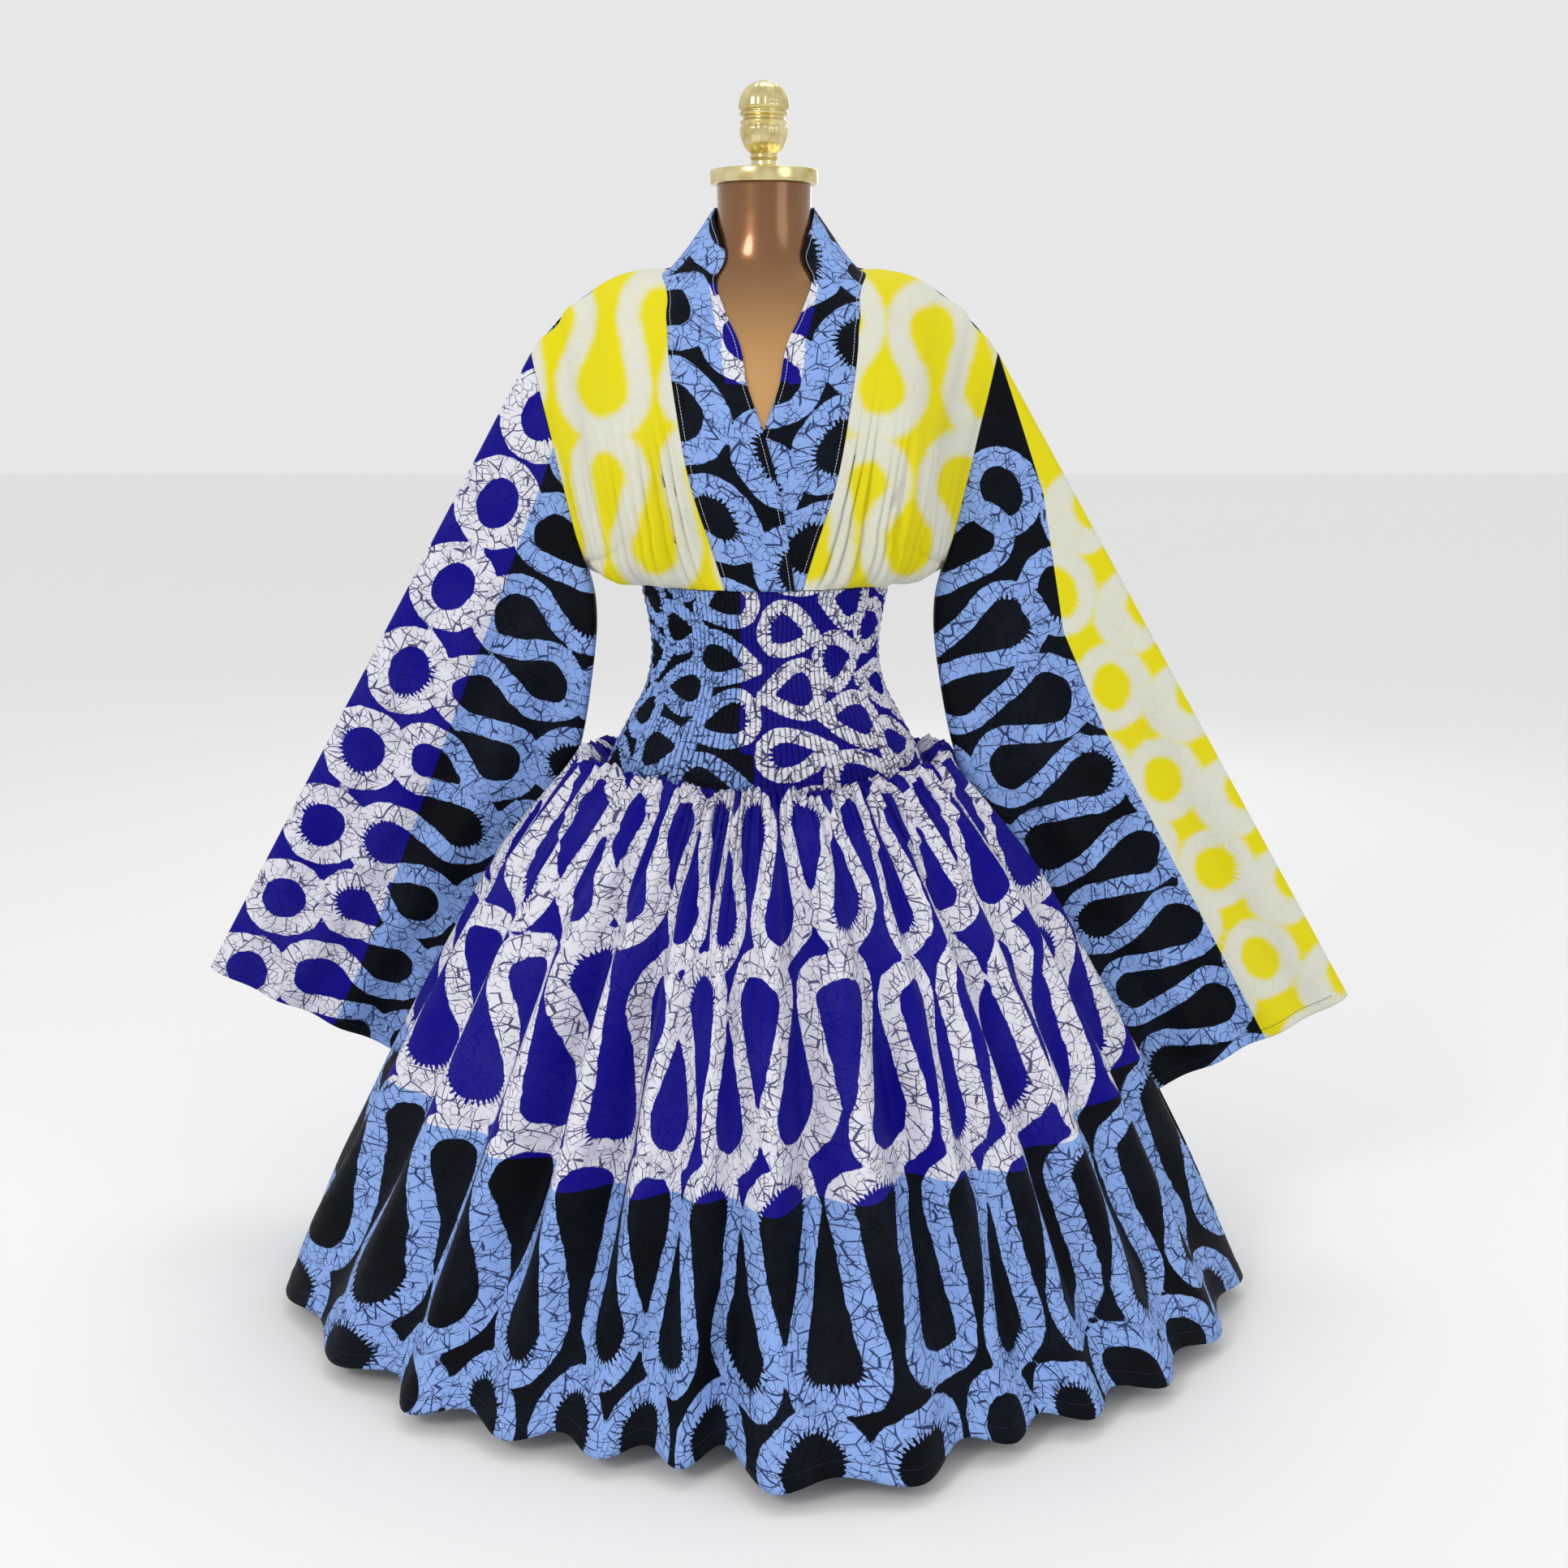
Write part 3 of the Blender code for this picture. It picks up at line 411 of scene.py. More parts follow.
# The smocked waist
# Two panels of waxed cotton sewn to rows of elastic thread, which draws them into fine upright
# puckers. The rows of elastic run level round the waist, about a centimetre apart.

CLOTH = 0.0011
SMOCKING_GAP = 0.0005
WAIST_TOP = 0.8150
WAIST_BOTTOM = 0.6020
WAIST_COLUMNS = 300
WAIST_ROWS = 64
WAIST_SEAM = 0.0002
PUCKERS = 74
PUCKER_HEIGHT = 0.0030
ELASTIC_PITCH = 0.0105
WAIST_SPREAD = 0.42
PUCKER_SHADE = 0.88
RIBBON_WIDTH = 0.027
RING_TEETH = 0.5
TOOTH_PITCH = 0.0036
TOOTH_DEPTH = 0.011
EDGE_WANDER = 0.007
RIBBON_WAVER = 0.0035
CRACK_WIDTH = 0.0007
FINE_CRACK_WIDTH = 0.0004
CRACK_TINT = 0.3
# The dark navy of the painted shade in the hollows of the puckers.
PUCKER_SHADE_COLOUR = (8, 9, 26)
THREADS = 2600.0
Dye = namedtuple("Dye", "ground ribbon crack blur crackle")
ROYAL = Dye(paint(14, 8, 128), paint(222, 223, 232), paint(30, 28, 92), 0.0006, 0.9)
BLACK = Dye(paint(5, 8, 14), paint(138, 170, 230), paint(22, 30, 74), 0.0006, 0.9)
YELLOW = Dye(paint(222, 210, 20), paint(216, 217, 202), paint(190, 186, 140), 0.0056, 0.16)
Marks = namedtuple("Marks", "distance inner along tooth")


def curled_ribbon(start, end, level, height, period, seed, loop=0.355, teeth=0.45):
    """A row of the print: one ribbon that winds in round loops, up and down across a level.

    Each loop is part of a circle, a share of the period wide, and straight strokes join them.
    Each point has its place on the cloth, which side is the inside of its loop, and whether
    its inner edge is toothed. The loops vary a little, as hand-cut blocks do.
    """
    rng = np.random.RandomState(seed)
    count = int(2 * (end - start) / period) + 2
    side = np.where(np.arange(count) % 2 == 0, 1.0, -1.0)
    radii = period * loop * rng.uniform(0.87, 1.13, count)
    x = start + period / 2 * (np.arange(count) + rng.uniform(-0.13, 0.13, count))
    y = level + side * (height * rng.uniform(0.88, 1.08, count) - radii)
    centres = x + 1j * y
    step = centres[1:] - centres[:-1]
    lean = np.arcsin(np.clip((radii[1:] + radii[:-1]) / np.abs(step), 0, 0.98))
    stroke = step / np.abs(step) * np.exp(-1j * side[:-1] * lean)
    toothed = rng.uniform(size=count) < teeth
    pieces = []
    for i in range(1, count - 1):
        first = np.angle(1j * stroke[i - 1] * side[i])
        last = np.angle(1j * stroke[i] * side[i])
        sweep = -side[i] * ((-side[i] * (last - first)) % math.tau)
        share = np.linspace(0, 1, 40)
        arc = centres[i] + radii[i] * np.exp(1j * (first + sweep * share))
        fade = smooth_step(0, 0.25, share) * smooth_step(1, 0.75, share)
        line = np.linspace(arc[-1], centres[i + 1] - 1j * stroke[i] * side[i] * radii[i + 1], 24)
        line = line[1:-1]
        inside = np.full(62, -side[i])
        tooth = np.concatenate([fade * toothed[i], np.zeros(22)])
        points = np.concatenate([arc, line])
        pieces.append(np.stack([points.real, points.imag, inside, tooth], axis=1))
    path = np.concatenate(pieces)
    waver = crumple(seed, 0.045, path[:, :2]), crumple(seed + 1, 0.045, path[:, :2])
    path[:, :2] += RIBBON_WAVER * np.stack(waver, axis=1)
    return path


def ring(x, y, across, down, seed):
    """A closed loop of ribbon, a little egg-shaped."""
    rng = np.random.RandomState(seed)
    turn = np.linspace(0, math.tau, 60)
    lean = rng.uniform(0, math.tau)
    reach = 1 + 0.07 * np.cos(turn - lean) + 0.04 * np.cos(2 * turn + lean)
    toothed = (rng.uniform() < RING_TEETH) * smooth_step(0.0, 0.6, np.cos(turn - lean))
    left = np.ones(60)
    points = [x + across * reach * np.cos(turn), y + down * reach * np.sin(turn), left, toothed]
    return np.stack(points, axis=1)


def marks_at(places, ribbons):
    """Measures each place on the cloth from the nearest ribbon of the print."""
    points = np.concatenate(ribbons)
    steps = np.concatenate([np.diff(r[:, :2], axis=0, append=r[-1:, :2]) for r in ribbons])
    lengths = np.hypot(*steps.T)
    along = np.concatenate([[0], np.cumsum(lengths)[:-1]])
    tree = KDTree(len(points))
    for i, (x, y) in enumerate(points[:, :2]):
        tree.insert((x, y, 0), i)
    tree.balance()
    near = np.array([tree.find((x, y, 0))[1] for x, y in places])
    found = Marks(*np.full((4, len(places)), np.inf))
    for first in (np.maximum(near - 1, 0), near):
        step, length = steps[first], np.maximum(lengths[first], 1e-9)
        offset = places - points[first, :2]
        part = np.clip((offset * step).sum(axis=1) / length**2, 0, 1)
        gap = offset - step * part[:, None]
        distance = np.hypot(*gap.T)
        side = np.sign(step[:, 0] * offset[:, 1] - step[:, 1] * offset[:, 0])
        values = (
            distance,
            distance * side * points[first, 2],
            along[first] + part * length,
            points[first, 3],
        )
        closer = distance < found.distance
        found = Marks(*[np.where(closer, new, old) for new, old in zip(values, found)])
    return found


def wax_print(name, first, second):
    """Waxed cotton, printed in two pairs of dyes with crackled ribbons, on a plain weave.

    The piece carries the print's measures: the distance to the ribbon, the side that faces
    into its loop, the length along it and its teeth, which pair of dyes applies, and the
    phase of its puckers, whose hollows are darkened with painted shade.
    """
    material, shader = new_material(name, 0.6)
    ribbon = node(material, "Attribute", {"attribute_name": "ribbon"}).outputs["Vector"]
    ribbon = node(material, "SeparateXYZ", Vector=ribbon).outputs
    zones = node(material, "Attribute", {"attribute_name": "zones"}).outputs["Vector"]
    zones = node(material, "SeparateXYZ", Vector=zones).outputs
    flat = node(material, "UVMap", {"uv_map": "cloth"}).outputs["UV"]

    def number(operation, *values):
        sockets = {f"i{i}": value for i, value in enumerate(values)}
        return node(material, "Math", {"operation": operation}, **sockets).outputs[0]

    def ramp(value, low, high, bottom=0.0, top=1.0):
        made = node(
            material, "MapRange", {"interpolation_type": "SMOOTHSTEP"}, Value=value,
            From_Min=low, From_Max=high, To_Min=bottom, To_Max=top,
        )
        return made.outputs["Result"]

    def noise(scale, detail=2.0, vector=flat):
        made = node(material, "TexNoise", Vector=vector, Scale=scale, Detail=detail)
        return made.outputs["Fac"]

    def cracks(vector, scale, width):
        made = node(
            material, "TexVoronoi", {"feature": "DISTANCE_TO_EDGE", "voronoi_dimensions": "2D"},
            Vector=vector, Scale=scale, Randomness=1.0,
        )
        strength = ramp(noise(scale * 0.6, 1.0), 0.38, 0.6)
        edge = number("MULTIPLY", strength, width * scale)
        return number("LESS_THAN", made.outputs["Distance"], edge)

    def blend(share, one, two):
        made = node(material, "Mix", {"data_type": "RGBA"}, Factor=share, i6=one, i7=two)
        return made.outputs[2]

    other = ramp(zones["X"], -0.0005, 0.0005, 1.0, 0.0)

    def by_zone(one, two):
        made = node(material, "Mix", {"data_type": "FLOAT"}, Factor=other, i2=one, i3=two)
        return made.outputs[0]

    wander = number("MULTIPLY", number("SUBTRACT", noise(60.0, 3.0), 0.5), EDGE_WANDER)
    distance = number("ADD", ribbon["X"], wander)
    tooth = number("PINGPONG", ribbon["Z"], TOOTH_PITCH)
    tooth = number("POWER", number("DIVIDE", tooth, TOOTH_PITCH), 1.6)
    bite = number("MULTIPLY", number("MULTIPLY", tooth, zones["Y"]), ramp(noise(150.0), 0.3, 0.6))
    bite = number("MULTIPLY", number("MULTIPLY", bite, TOOTH_DEPTH), ramp(ribbon["Y"], 0.0, 0.002))
    edge = number("SUBTRACT", number("SUBTRACT", RIBBON_WIDTH / 2, bite), distance)
    blur = by_zone(first.blur, second.blur)
    mask = number("MULTIPLY_ADD", number("DIVIDE", edge, blur), 0.5, 0.5)
    mask = ramp(mask, 0.0, 1.0)

    across = node(
        material, "CombineXYZ", X=ribbon["Z"], Y=number("MULTIPLY", ribbon["Y"], 0.42)
    ).outputs[0]
    lines = number("MAXIMUM", cracks(across, 74.0, CRACK_WIDTH), cracks(flat, 44.0, CRACK_WIDTH))
    lines = number("MAXIMUM", lines, cracks(flat, 118.0, FINE_CRACK_WIDTH))
    lines = number("MULTIPLY", lines, by_zone(first.crackle, second.crackle))

    ground = blend(other, first.ground, second.ground)
    light = blend(other, first.ribbon, second.ribbon)
    crack = blend(other, first.crack, second.crack)
    stain = ramp(noise(22.0, 3.0), 0.35, 0.75, 0.0, 0.22)
    light = blend(stain, light, blend(CRACK_TINT, light, crack))
    light = blend(lines, light, crack)
    faded = ramp(noise(9.0, 4.0), 0.3, 0.75, 0.0, 0.05)
    ground = blend(number("MULTIPLY", faded, 0.35), ground, light)
    printed = blend(mask, ground, light)
    # Painted shade: the base colour darkens towards a dark navy in the hollows of the puckers,
    # broken up by noise.
    shade = ramp(number("COSINE", zones["Z"]), -1.0, 0.3, PUCKER_SHADE, 0.0)
    shade = number("MULTIPLY", shade, ramp(noise(110.0), 0.3, 0.6, 0.25, 1.0))
    printed = blend(shade, printed, paint(8, 9, 26))
    plug(material, printed, shader.inputs["Base Color"])

    thread = node(material, "Mapping", Vector=flat, Scale=(2600.0, 2600.0, 1.0)).outputs[0]
    thread = node(material, "SeparateXYZ", Vector=thread).outputs
    weave = number("MULTIPLY", number("SINE", thread["X"]), number("SINE", thread["Y"]))
    weave = node(material, "Bump", Strength=0.12, Distance=0.0002, Height=weave)
    rumple = node(
        material, "Bump", Strength=0.35, Distance=0.0016, Height=noise(34.0, 4.0),
        Normal=weave.outputs["Normal"],
    )
    plug(material, rumple.outputs["Normal"], shader.inputs["Normal"])
    plug(material, ramp(noise(70.0), 0.2, 0.8, 0.52, 0.68), shader.inputs["Roughness"])
    shader.inputs["Sheen Weight"].default_value = 0.025
    shader.inputs["Sheen Roughness"].default_value = 0.4
    shader.inputs["Specular IOR Level"].default_value = 0.06
    return material


def crumple(seed, size, places):
    """Soft uneven rise and fall over the cloth, between -1 and 1, of about a given size."""
    lattice = np.random.RandomState(seed).uniform(-1, 1, (97, 97))
    spot = places / size + 500
    first = np.floor(spot).astype(int)
    part = spot - first
    part = part * part * (3 - 2 * part)
    a, b = first[:, 0] % 97, first[:, 1] % 97
    c, d = (a + 1) % 97, (b + 1) % 97
    low = mix(lattice[a, b], lattice[c, b], part[:, 0])
    high = mix(lattice[a, d], lattice[c, d], part[:, 0])
    return mix(low, high, part[:, 1])


def unit(vectors):
    return vectors / np.maximum(np.linalg.norm(vectors, axis=-1, keepdims=True), 1e-9)


def set_corners(mesh, name, values):
    """Stores three measures at each corner of the mesh, where the print reads them."""
    layer = mesh.attributes.new(name, "FLOAT_VECTOR", "CORNER")
    layer.data.foreach_set("vector", np.stack(values, axis=1).ravel().astype(np.float32))


def cloth_piece(
    name, columns, rows, place, cut, ribbons, zone, material, closes=False, ribbon_width=0.027,
    puckers=None,
):
    """A piece of cloth. A flat grid is laid on its shape by place, which gives the points for
    each column and row, and cut gives where they are on the flat cloth, in metres. zone gives
    the first dyes where it is above 0. The cloth's thickness is added on its outer side."""
    bm = bmesh.new()
    bmesh.ops.create_grid(bm, x_segments=columns, y_segments=rows, size=0.5)
    mesh = mesh_of(bm, name)
    flat = np.empty(len(mesh.vertices) * 3)
    mesh.vertices.foreach_get("co", flat)
    flat = flat.reshape(-1, 3)
    column, row = flat[:, 0] + 0.5, np.clip(flat[:, 1] + 0.5, 0, 1)
    points = place(column, row)
    mesh.vertices.foreach_set("co", points.ravel())
    mesh.update()
    normals = np.empty(len(mesh.vertices) * 3)
    mesh.vertices.foreach_get("normal", normals)
    middle = points.mean(axis=0) if closes else np.array([0, 0, 0])
    outward = points - middle
    outward[:, 2] = 0
    if closes:
        outward[:, 0] = 0
        outward *= np.abs(points[:, 1:2] - middle[1]) > 0.008
        order = np.round(row * rows).astype(int)
        middles = np.bincount(order, points[:, 1]) / np.bincount(order)
        outward[:, 1] = points[:, 1] - middles[order]
    if (normals.reshape(-1, 3) * outward).sum() < 0:
        mesh.flip_normals()
    corner = np.empty(len(mesh.loops), int)
    mesh.loops.foreach_get("vertex_index", corner)
    places = cut(column, row, points)
    uv = mesh.uv_layers.new(name="cloth")
    uv.data.foreach_set("uv", places[corner].ravel().astype(np.float32))
    found = marks_at(places, ribbons)
    distance = found.distance * RIBBON_WIDTH / ribbon_width
    set_corners(mesh, "ribbon", [distance[corner], found.inner[corner], found.along[corner]])
    dyes = np.broadcast_to(zone(places, points), len(places))
    phase = np.zeros(len(places)) if puckers is None else puckers(column, row)
    set_corners(mesh, "zones", [dyes[corner], found.tooth[corner], phase[corner]])
    if closes:
        bm = bmesh.new()
        bm.from_mesh(mesh)
        edge = [vert for vert in bm.verts if vert.is_boundary]
        bmesh.ops.remove_doubles(bm, verts=edge, dist=WELD)
        bm.to_mesh(mesh)
        bm.free()
    made = finished(name, mesh, material)
    wall = made.modifiers.new("thickness", "SOLIDIFY")
    wall.thickness = CLOTH
    wall.offset = 1
    return made


royal_and_black = wax_print("waxed_cotton_royal_and_black", ROYAL, BLACK)
WAIST_DROP_PITCH = 0.064


def teardrop(x, y, length, width, lean, seed):
    """A closed loop of ribbon, round at one end and pointed at the other."""
    rng = np.random.RandomState(seed)
    turn = np.linspace(0, math.tau, 60)
    along = np.cos(turn) * length * rng.uniform(0.88, 1.12)
    aside = np.sin(turn) * np.sin(turn / 2) ** 1.3 * width * rng.uniform(0.9, 1.15)
    tilt = lean + rng.uniform(-0.35, 0.35)
    toothed = (rng.uniform() < RING_TEETH) * smooth_step(0.3, 0.8, -np.cos(turn))
    points = [
        x + along * math.cos(tilt) - aside * math.sin(tilt),
        y + along * math.sin(tilt) + aside * math.cos(tilt),
        np.ones(60),
        toothed,
    ]
    return np.stack(points, axis=1)


waist_ribbons = []
for i, level in enumerate((-0.222, -0.162, -0.102, -0.045, 0.030, 0.094, 0.156, 0.220)):
    for j in range(5):
        height = WAIST_DROP_PITCH * (j - 0.35 + 0.5 * (i % 2))
        lean = 0 if (i + j) % 2 else math.pi
        drop = teardrop(level, height, 0.033, 0.031, lean, 20 + 5 * i + j)
        waist_ribbons.append(drop)


def make_waist(name, first_angle, node_name):
    trim = math.degrees(WAIST_SEAM / 0.134)

    def pucker_phase(column, row):
        height = mix(WAIST_BOTTOM, WAIST_TOP, row)
        uneven = crumple(3, 0.03, np.stack([column, height], axis=1))
        return column * PUCKERS * math.tau + 1.2 * uneven

    def place(column, row):
        angle = mix(first_angle + trim, first_angle + 180 - trim, column)
        height = mix(WAIST_BOTTOM, WAIST_TOP, row)
        wave = pucker_phase(column, row)
        elastic = np.abs(np.sin(height / ELASTIC_PITCH * math.pi)) ** 0.6
        swell = PUCKER_HEIGHT * (0.3 + 0.7 * elastic) * (0.5 + 0.5 * np.cos(wave))
        return on_form(angle, height, SMOCKING_GAP + swell + 0.0002)

    def cut(column, row, points):
        across = (column - 0.5) * WAIST_SPREAD
        return np.stack([across, mix(0, WAIST_TOP - WAIST_BOTTOM, row)], axis=1)

    def zone(places, points):
        if first_angle > 0:
            return places[:, 0] + 0.06
        stripe = (points[:, 0] < -0.006) & (points[:, 0] > -0.026) & (points[:, 2] > 0.645)
        return np.where(stripe, 0.01, points[:, 0] + 0.012)

    panel = cloth_piece(
        name, WAIST_COLUMNS, WAIST_ROWS, place, cut, waist_ribbons, zone, royal_and_black,
        ribbon_width=0.0155, puckers=pucker_phase,
    )
    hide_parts(node_name)
    return panel


make_waist("waist_panel_front", -90, "waist_front")
make_waist("waist_panel_back", 90, "waist_back")


# The neckbands
# Two double strips of waxed cotton, one for each side, joined at the nape. They are turned in
# along both edges, topstitched, and cross at the waist, the wearer's right one on top.

BAND_GAP = 0.0024
BAND_OVERLAP = 0.0021
BandRow = namedtuple("BandRow", "inner_angle inner_height outer_angle outer_height")
BAND_ROWS = (
    BandRow(-13.3, 0.8159, 17.2, 0.8159),
    BandRow(-7.3, 0.8980, 25.0, 0.9090),
    BandRow(-1.3, 0.9690, 27.8, 0.9620),
    BandRow(4.7, 1.0240, 29.8, 1.0280),
    BandRow(9.5, 1.0830, 32.9, 1.0900),
    BandRow(29.6, 1.1480, 45.6, 1.1280),
    BandRow(90.0, 1.2070, 90.0, 1.1435),
    BandRow(138.0, 1.2040, 138.0, 1.1390),
    BandRow(179.8, 1.2000, 179.8, 1.1370),
)
NECK_SIDE_ROW = 6
NAPE_ROW = 8
BAND_COLUMNS = 30
BAND_LEVELS = 140
BAND_STEP = 0.0006
SLOPE_PROBE = 0.001


def between(values, place):
    """Reads a smooth curve through evenly spaced values, at places counted in rows."""
    values, place = np.asarray(values, float), np.asarray(place, float)
    first = np.clip(place.astype(int), 0, len(values) - 2)
    part = place - first
    before, start = values[np.maximum(first - 1, 0)], values[first]
    end, after = values[first + 1], values[np.minimum(first + 2, len(values) - 1)]
    bend = 2 * before - 5 * start + 4 * end - after
    twist = 3 * (start - end) + after - before
    return start + 0.5 * part * (end - before + part * (bend + part * twist))


def form_share(points):
    """How far out points are: 1 on the form's surface, and less inside it."""
    half_width, front, back = form_reach(points[:, 2])
    depth = np.where(points[:, 1] < 0, front, back)
    return np.hypot(points[:, 0] / half_width, points[:, 1] / depth)


def clear_of_form(points, gap):
    """The points themselves, or moved out along the form's slope until they have the gap."""
    for _ in range(6):
        steps = np.eye(3) * SLOPE_PROBE
        slope = [form_share(points + step) - form_share(points - step) for step in steps]
        slope = np.stack(slope, axis=1) / (2 * SLOPE_PROBE)
        steepness = np.maximum(np.linalg.norm(slope, axis=1), 1e-6)
        push = np.maximum(gap - (form_share(points) - 1) / steepness, 0)
        points = points + unit(slope) * push[:, None]
    return points


def band_gap(place, over):
    """A band's gap to the form. The right band (over 1) crosses over the left one (0)."""
    return BAND_GAP + over * BAND_OVERLAP * smooth_step(5, 3.5, place)


def band_point(place, across, over):
    """Points of a neckband, from its inner edge (across 0) to its outer edge (1)."""
    gap = band_gap(place, over)
    inner_angle = between([row.inner_angle for row in BAND_ROWS], place)
    inner_height = between([row.inner_height for row in BAND_ROWS], place)
    outer_angle = between([row.outer_angle for row in BAND_ROWS], place)
    outer_height = between([row.outer_height for row in BAND_ROWS], place)
    inner = on_form(inner_angle, inner_height, gap)
    outer = on_form(outer_angle, outer_height, gap)
    return clear_of_form(mix(inner, outer, np.asarray(across)[..., None]), gap)


band_places = np.linspace(0, NAPE_ROW, 400)
band_line = band_point(band_places, np.full(400, 0.5), 0)
band_metres = np.concatenate([[0], np.cumsum(np.linalg.norm(np.diff(band_line, axis=0), axis=1))])
band_widths = np.linalg.norm(
    band_point(band_places, np.zeros(400), 0) - band_point(band_places, np.ones(400), 0), axis=1
)


STITCH_LENGTH = 0.0026
STITCH_PITCH = 0.0036
STITCH_RADIUS = 0.0003
STITCH_SIDES = 6
PLACE_STEP = 0.002
BAND_STITCHES = (0.06, 0.94)


def seam_line(place, columns, rows, outward):
    """Points along the outer side of a piece, and the direction out of the cloth at each."""
    points = place(columns, rows)
    sides = [place(np.clip(columns + step, 0, 1), rows) for step in (PLACE_STEP, -PLACE_STEP)]
    ends = [place(columns, np.clip(rows + step, 0, 1)) for step in (PLACE_STEP, -PLACE_STEP)]
    normals = unit(np.cross(sides[0] - sides[1], ends[0] - ends[1]))
    normals *= np.sign((normals * outward).sum(axis=1))[:, None]
    return points + normals * CLOTH, normals


def stitched(name, lines, thread):
    """Rows of short stitches of round thread, half sunk into the cloth, as one joined piece."""
    bm = bmesh.new()
    for points, normals in lines:
        steps = np.linalg.norm(np.diff(points, axis=0), axis=1)
        metres = np.concatenate([[0], np.cumsum(steps)])
        starts = np.arange(0, metres[-1] - STITCH_LENGTH, STITCH_PITCH)
        first, last, up = [
            np.stack([np.interp(at, metres, values[:, i]) for i in range(3)], axis=1)
            for at, values in ((starts, points), (starts + STITCH_LENGTH, points), (starts, normals))
        ]
        for start, end, normal in zip(first, last, up):
            turn = Vector(end - start).to_track_quat("Z", "Y").to_matrix().to_4x4()
            centre = (start + end) / 2 + normal * STITCH_RADIUS / 2
            bmesh.ops.create_cone(
                bm, segments=STITCH_SIDES, radius1=STITCH_RADIUS, radius2=STITCH_RADIUS,
                depth=STITCH_LENGTH, cap_ends=True, matrix=Matrix.Translation(centre) @ turn,
            )
    bmesh.ops.recalc_face_normals(bm, faces=bm.faces)
    made = finished(name, mesh_of(bm, name), thread)


def cotton_thread(name, dark, light):
    """Twisted cotton thread, a little uneven in colour along its length."""
    material, shader = new_material(name, 0.7)
    place = node(material, "TexCoord").outputs["Object"]
    fuzz = node(material, "TexNoise", Vector=place, Scale=700.0, Detail=2.0)
    tone = tones(material, fuzz.outputs["Fac"], dark, light, 0.35, 0.65)
    plug(material, tone, shader.inputs["Base Color"])
    add_bump(material, shader, fuzz.outputs["Fac"], 0.3, 0.0001)
    return material


pale_thread = cotton_thread("pale_cotton_thread", paint(176, 184, 206), paint(222, 226, 236))
navy_thread = cotton_thread("navy_cotton_thread", paint(14, 16, 44), paint(34, 38, 84))
band_lines = []


def make_neckband(name, side, over, node_name, ribbons):
    def place(column, row):
        where = np.interp(row * band_metres[-1], band_metres, band_places)
        points = band_point(where, column, over)
        turned_in = smooth_step(0.05, 0.11, column) * smooth_step(0.95, 0.89, column)
        lift = BAND_STEP * (1 - turned_in)
        lift = lift + 0.0005 * (crumple(31 + over, 0.03, points[:, [0, 2]]) + 1) * turned_in
        points = points + unit(points * [1, 1, 0]) * lift[:, None]
        return points * [side, 1, 1]

    def cut(column, row, points):
        width = np.interp(row * band_metres[-1], band_metres, band_widths)
        return np.stack([(column - 0.5) * width, row * band_metres[-1]], axis=1)

    def zone(places, points):
        upper = (points[:, 2] > 1.03) & (points[:, 2] < 1.13) & (places[:, 0] < -0.018)
        return np.where(upper, 0.01, -0.01)

    band = cloth_piece(
        name, BAND_COLUMNS, BAND_LEVELS, place, cut, ribbons, zone, royal_and_black
    )
    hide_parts(node_name)
    rows = np.linspace(0.005, 0.995, 500)
    for across in BAND_STITCHES:
        columns = np.full(len(rows), across)
        outward = place(columns, rows) * [1, 1, 0]
        band_lines.append(seam_line(place, columns, rows, outward))


def lengthwise(ribbon, flip=1):
    """Turns a row of loops so that it runs down a piece. A flip of -1 mirrors it."""
    return ribbon[:, [1, 0, 2, 3]] * [flip, 1, -flip, 1]


right_band_ribbons = [
    lengthwise(curled_ribbon(-0.1, 0.7, 0.055, 0.062, 0.118, 41)),
    lengthwise(curled_ribbon(-0.1, 0.7, -0.062, 0.05, 0.124, 42)),
]
left_band_ribbons = [
    lengthwise(curled_ribbon(-0.13, 0.7, 0.06, 0.060, 0.112, 43)),
    lengthwise(curled_ribbon(-0.13, 0.7, -0.055, 0.05, 0.121, 44)),
]
make_neckband("neckband_strip_left", 1, 0, "neckband_left", left_band_ribbons)
make_neckband("neckband_strip_right", -1, 1, "neckband_right", right_band_ribbons)
stitched("neckband_stitches", band_lines, pale_thread)


# The blouse
# Two fronts of yellow waxed cotton and one dark back. They are set into the neckband, gathered
# at the waist, where they blouse over the seam, and cut with a long armhole for the sleeves.

SEAM_GAP = 0.0004
ROW_STOPS = (0, 0.2, 0.45, 0.7, 1, 1.5, 2, 2.5, 3, 3.5, 4, 4.4, 4.8, 5.2, 5.6, 6)
SHOULDER_X = 0.250
SHOULDER_Z = 1.060
UNDERARM_X = 0.199
UNDERARM_Z = 0.836
ARMHOLE_HALF_DEPTH = 0.019
ARMHOLE_ROUNDNESS = 3.2
FRONT_COLUMNS = 84
BACK_COLUMNS = 150
BLOUSE_LEVELS = 104
BACK_NECK_SHARE = 12 / 28
SHOULDER_ARCH = 0.027
FRONT_FULLNESS = 0.016
BACK_FULLNESS = 0.012
SIDE_FALL = 2.6
SIDE_SOFTNESS = 1.3
BLOUSE_GATHER = 0.0052
BLOUSE_DRAPE = 0.0030
BLOUSE_PULL = 0.0034
BACK_DRAPE = 0.0022
BLOUSE_SPREAD = 1.12
BLOUSE_SAG = 0.0045
FRONT_GATHERS = 13
BACK_DROP = 0.35
BACK_ONSET = 0.45
BACK_LOW_Z = 0.850
BACK_SHOULDER_GAP = 0.005


def armhole_depth(share):
    """Half the depth of the armhole, at a share of its length from the shoulder down."""
    off_middle = np.minimum(np.abs(2 * share - 1), 1)
    return ARMHOLE_HALF_DEPTH * (1 - off_middle**ARMHOLE_ROUNDNESS) ** (1 / ARMHOLE_ROUNDNESS)


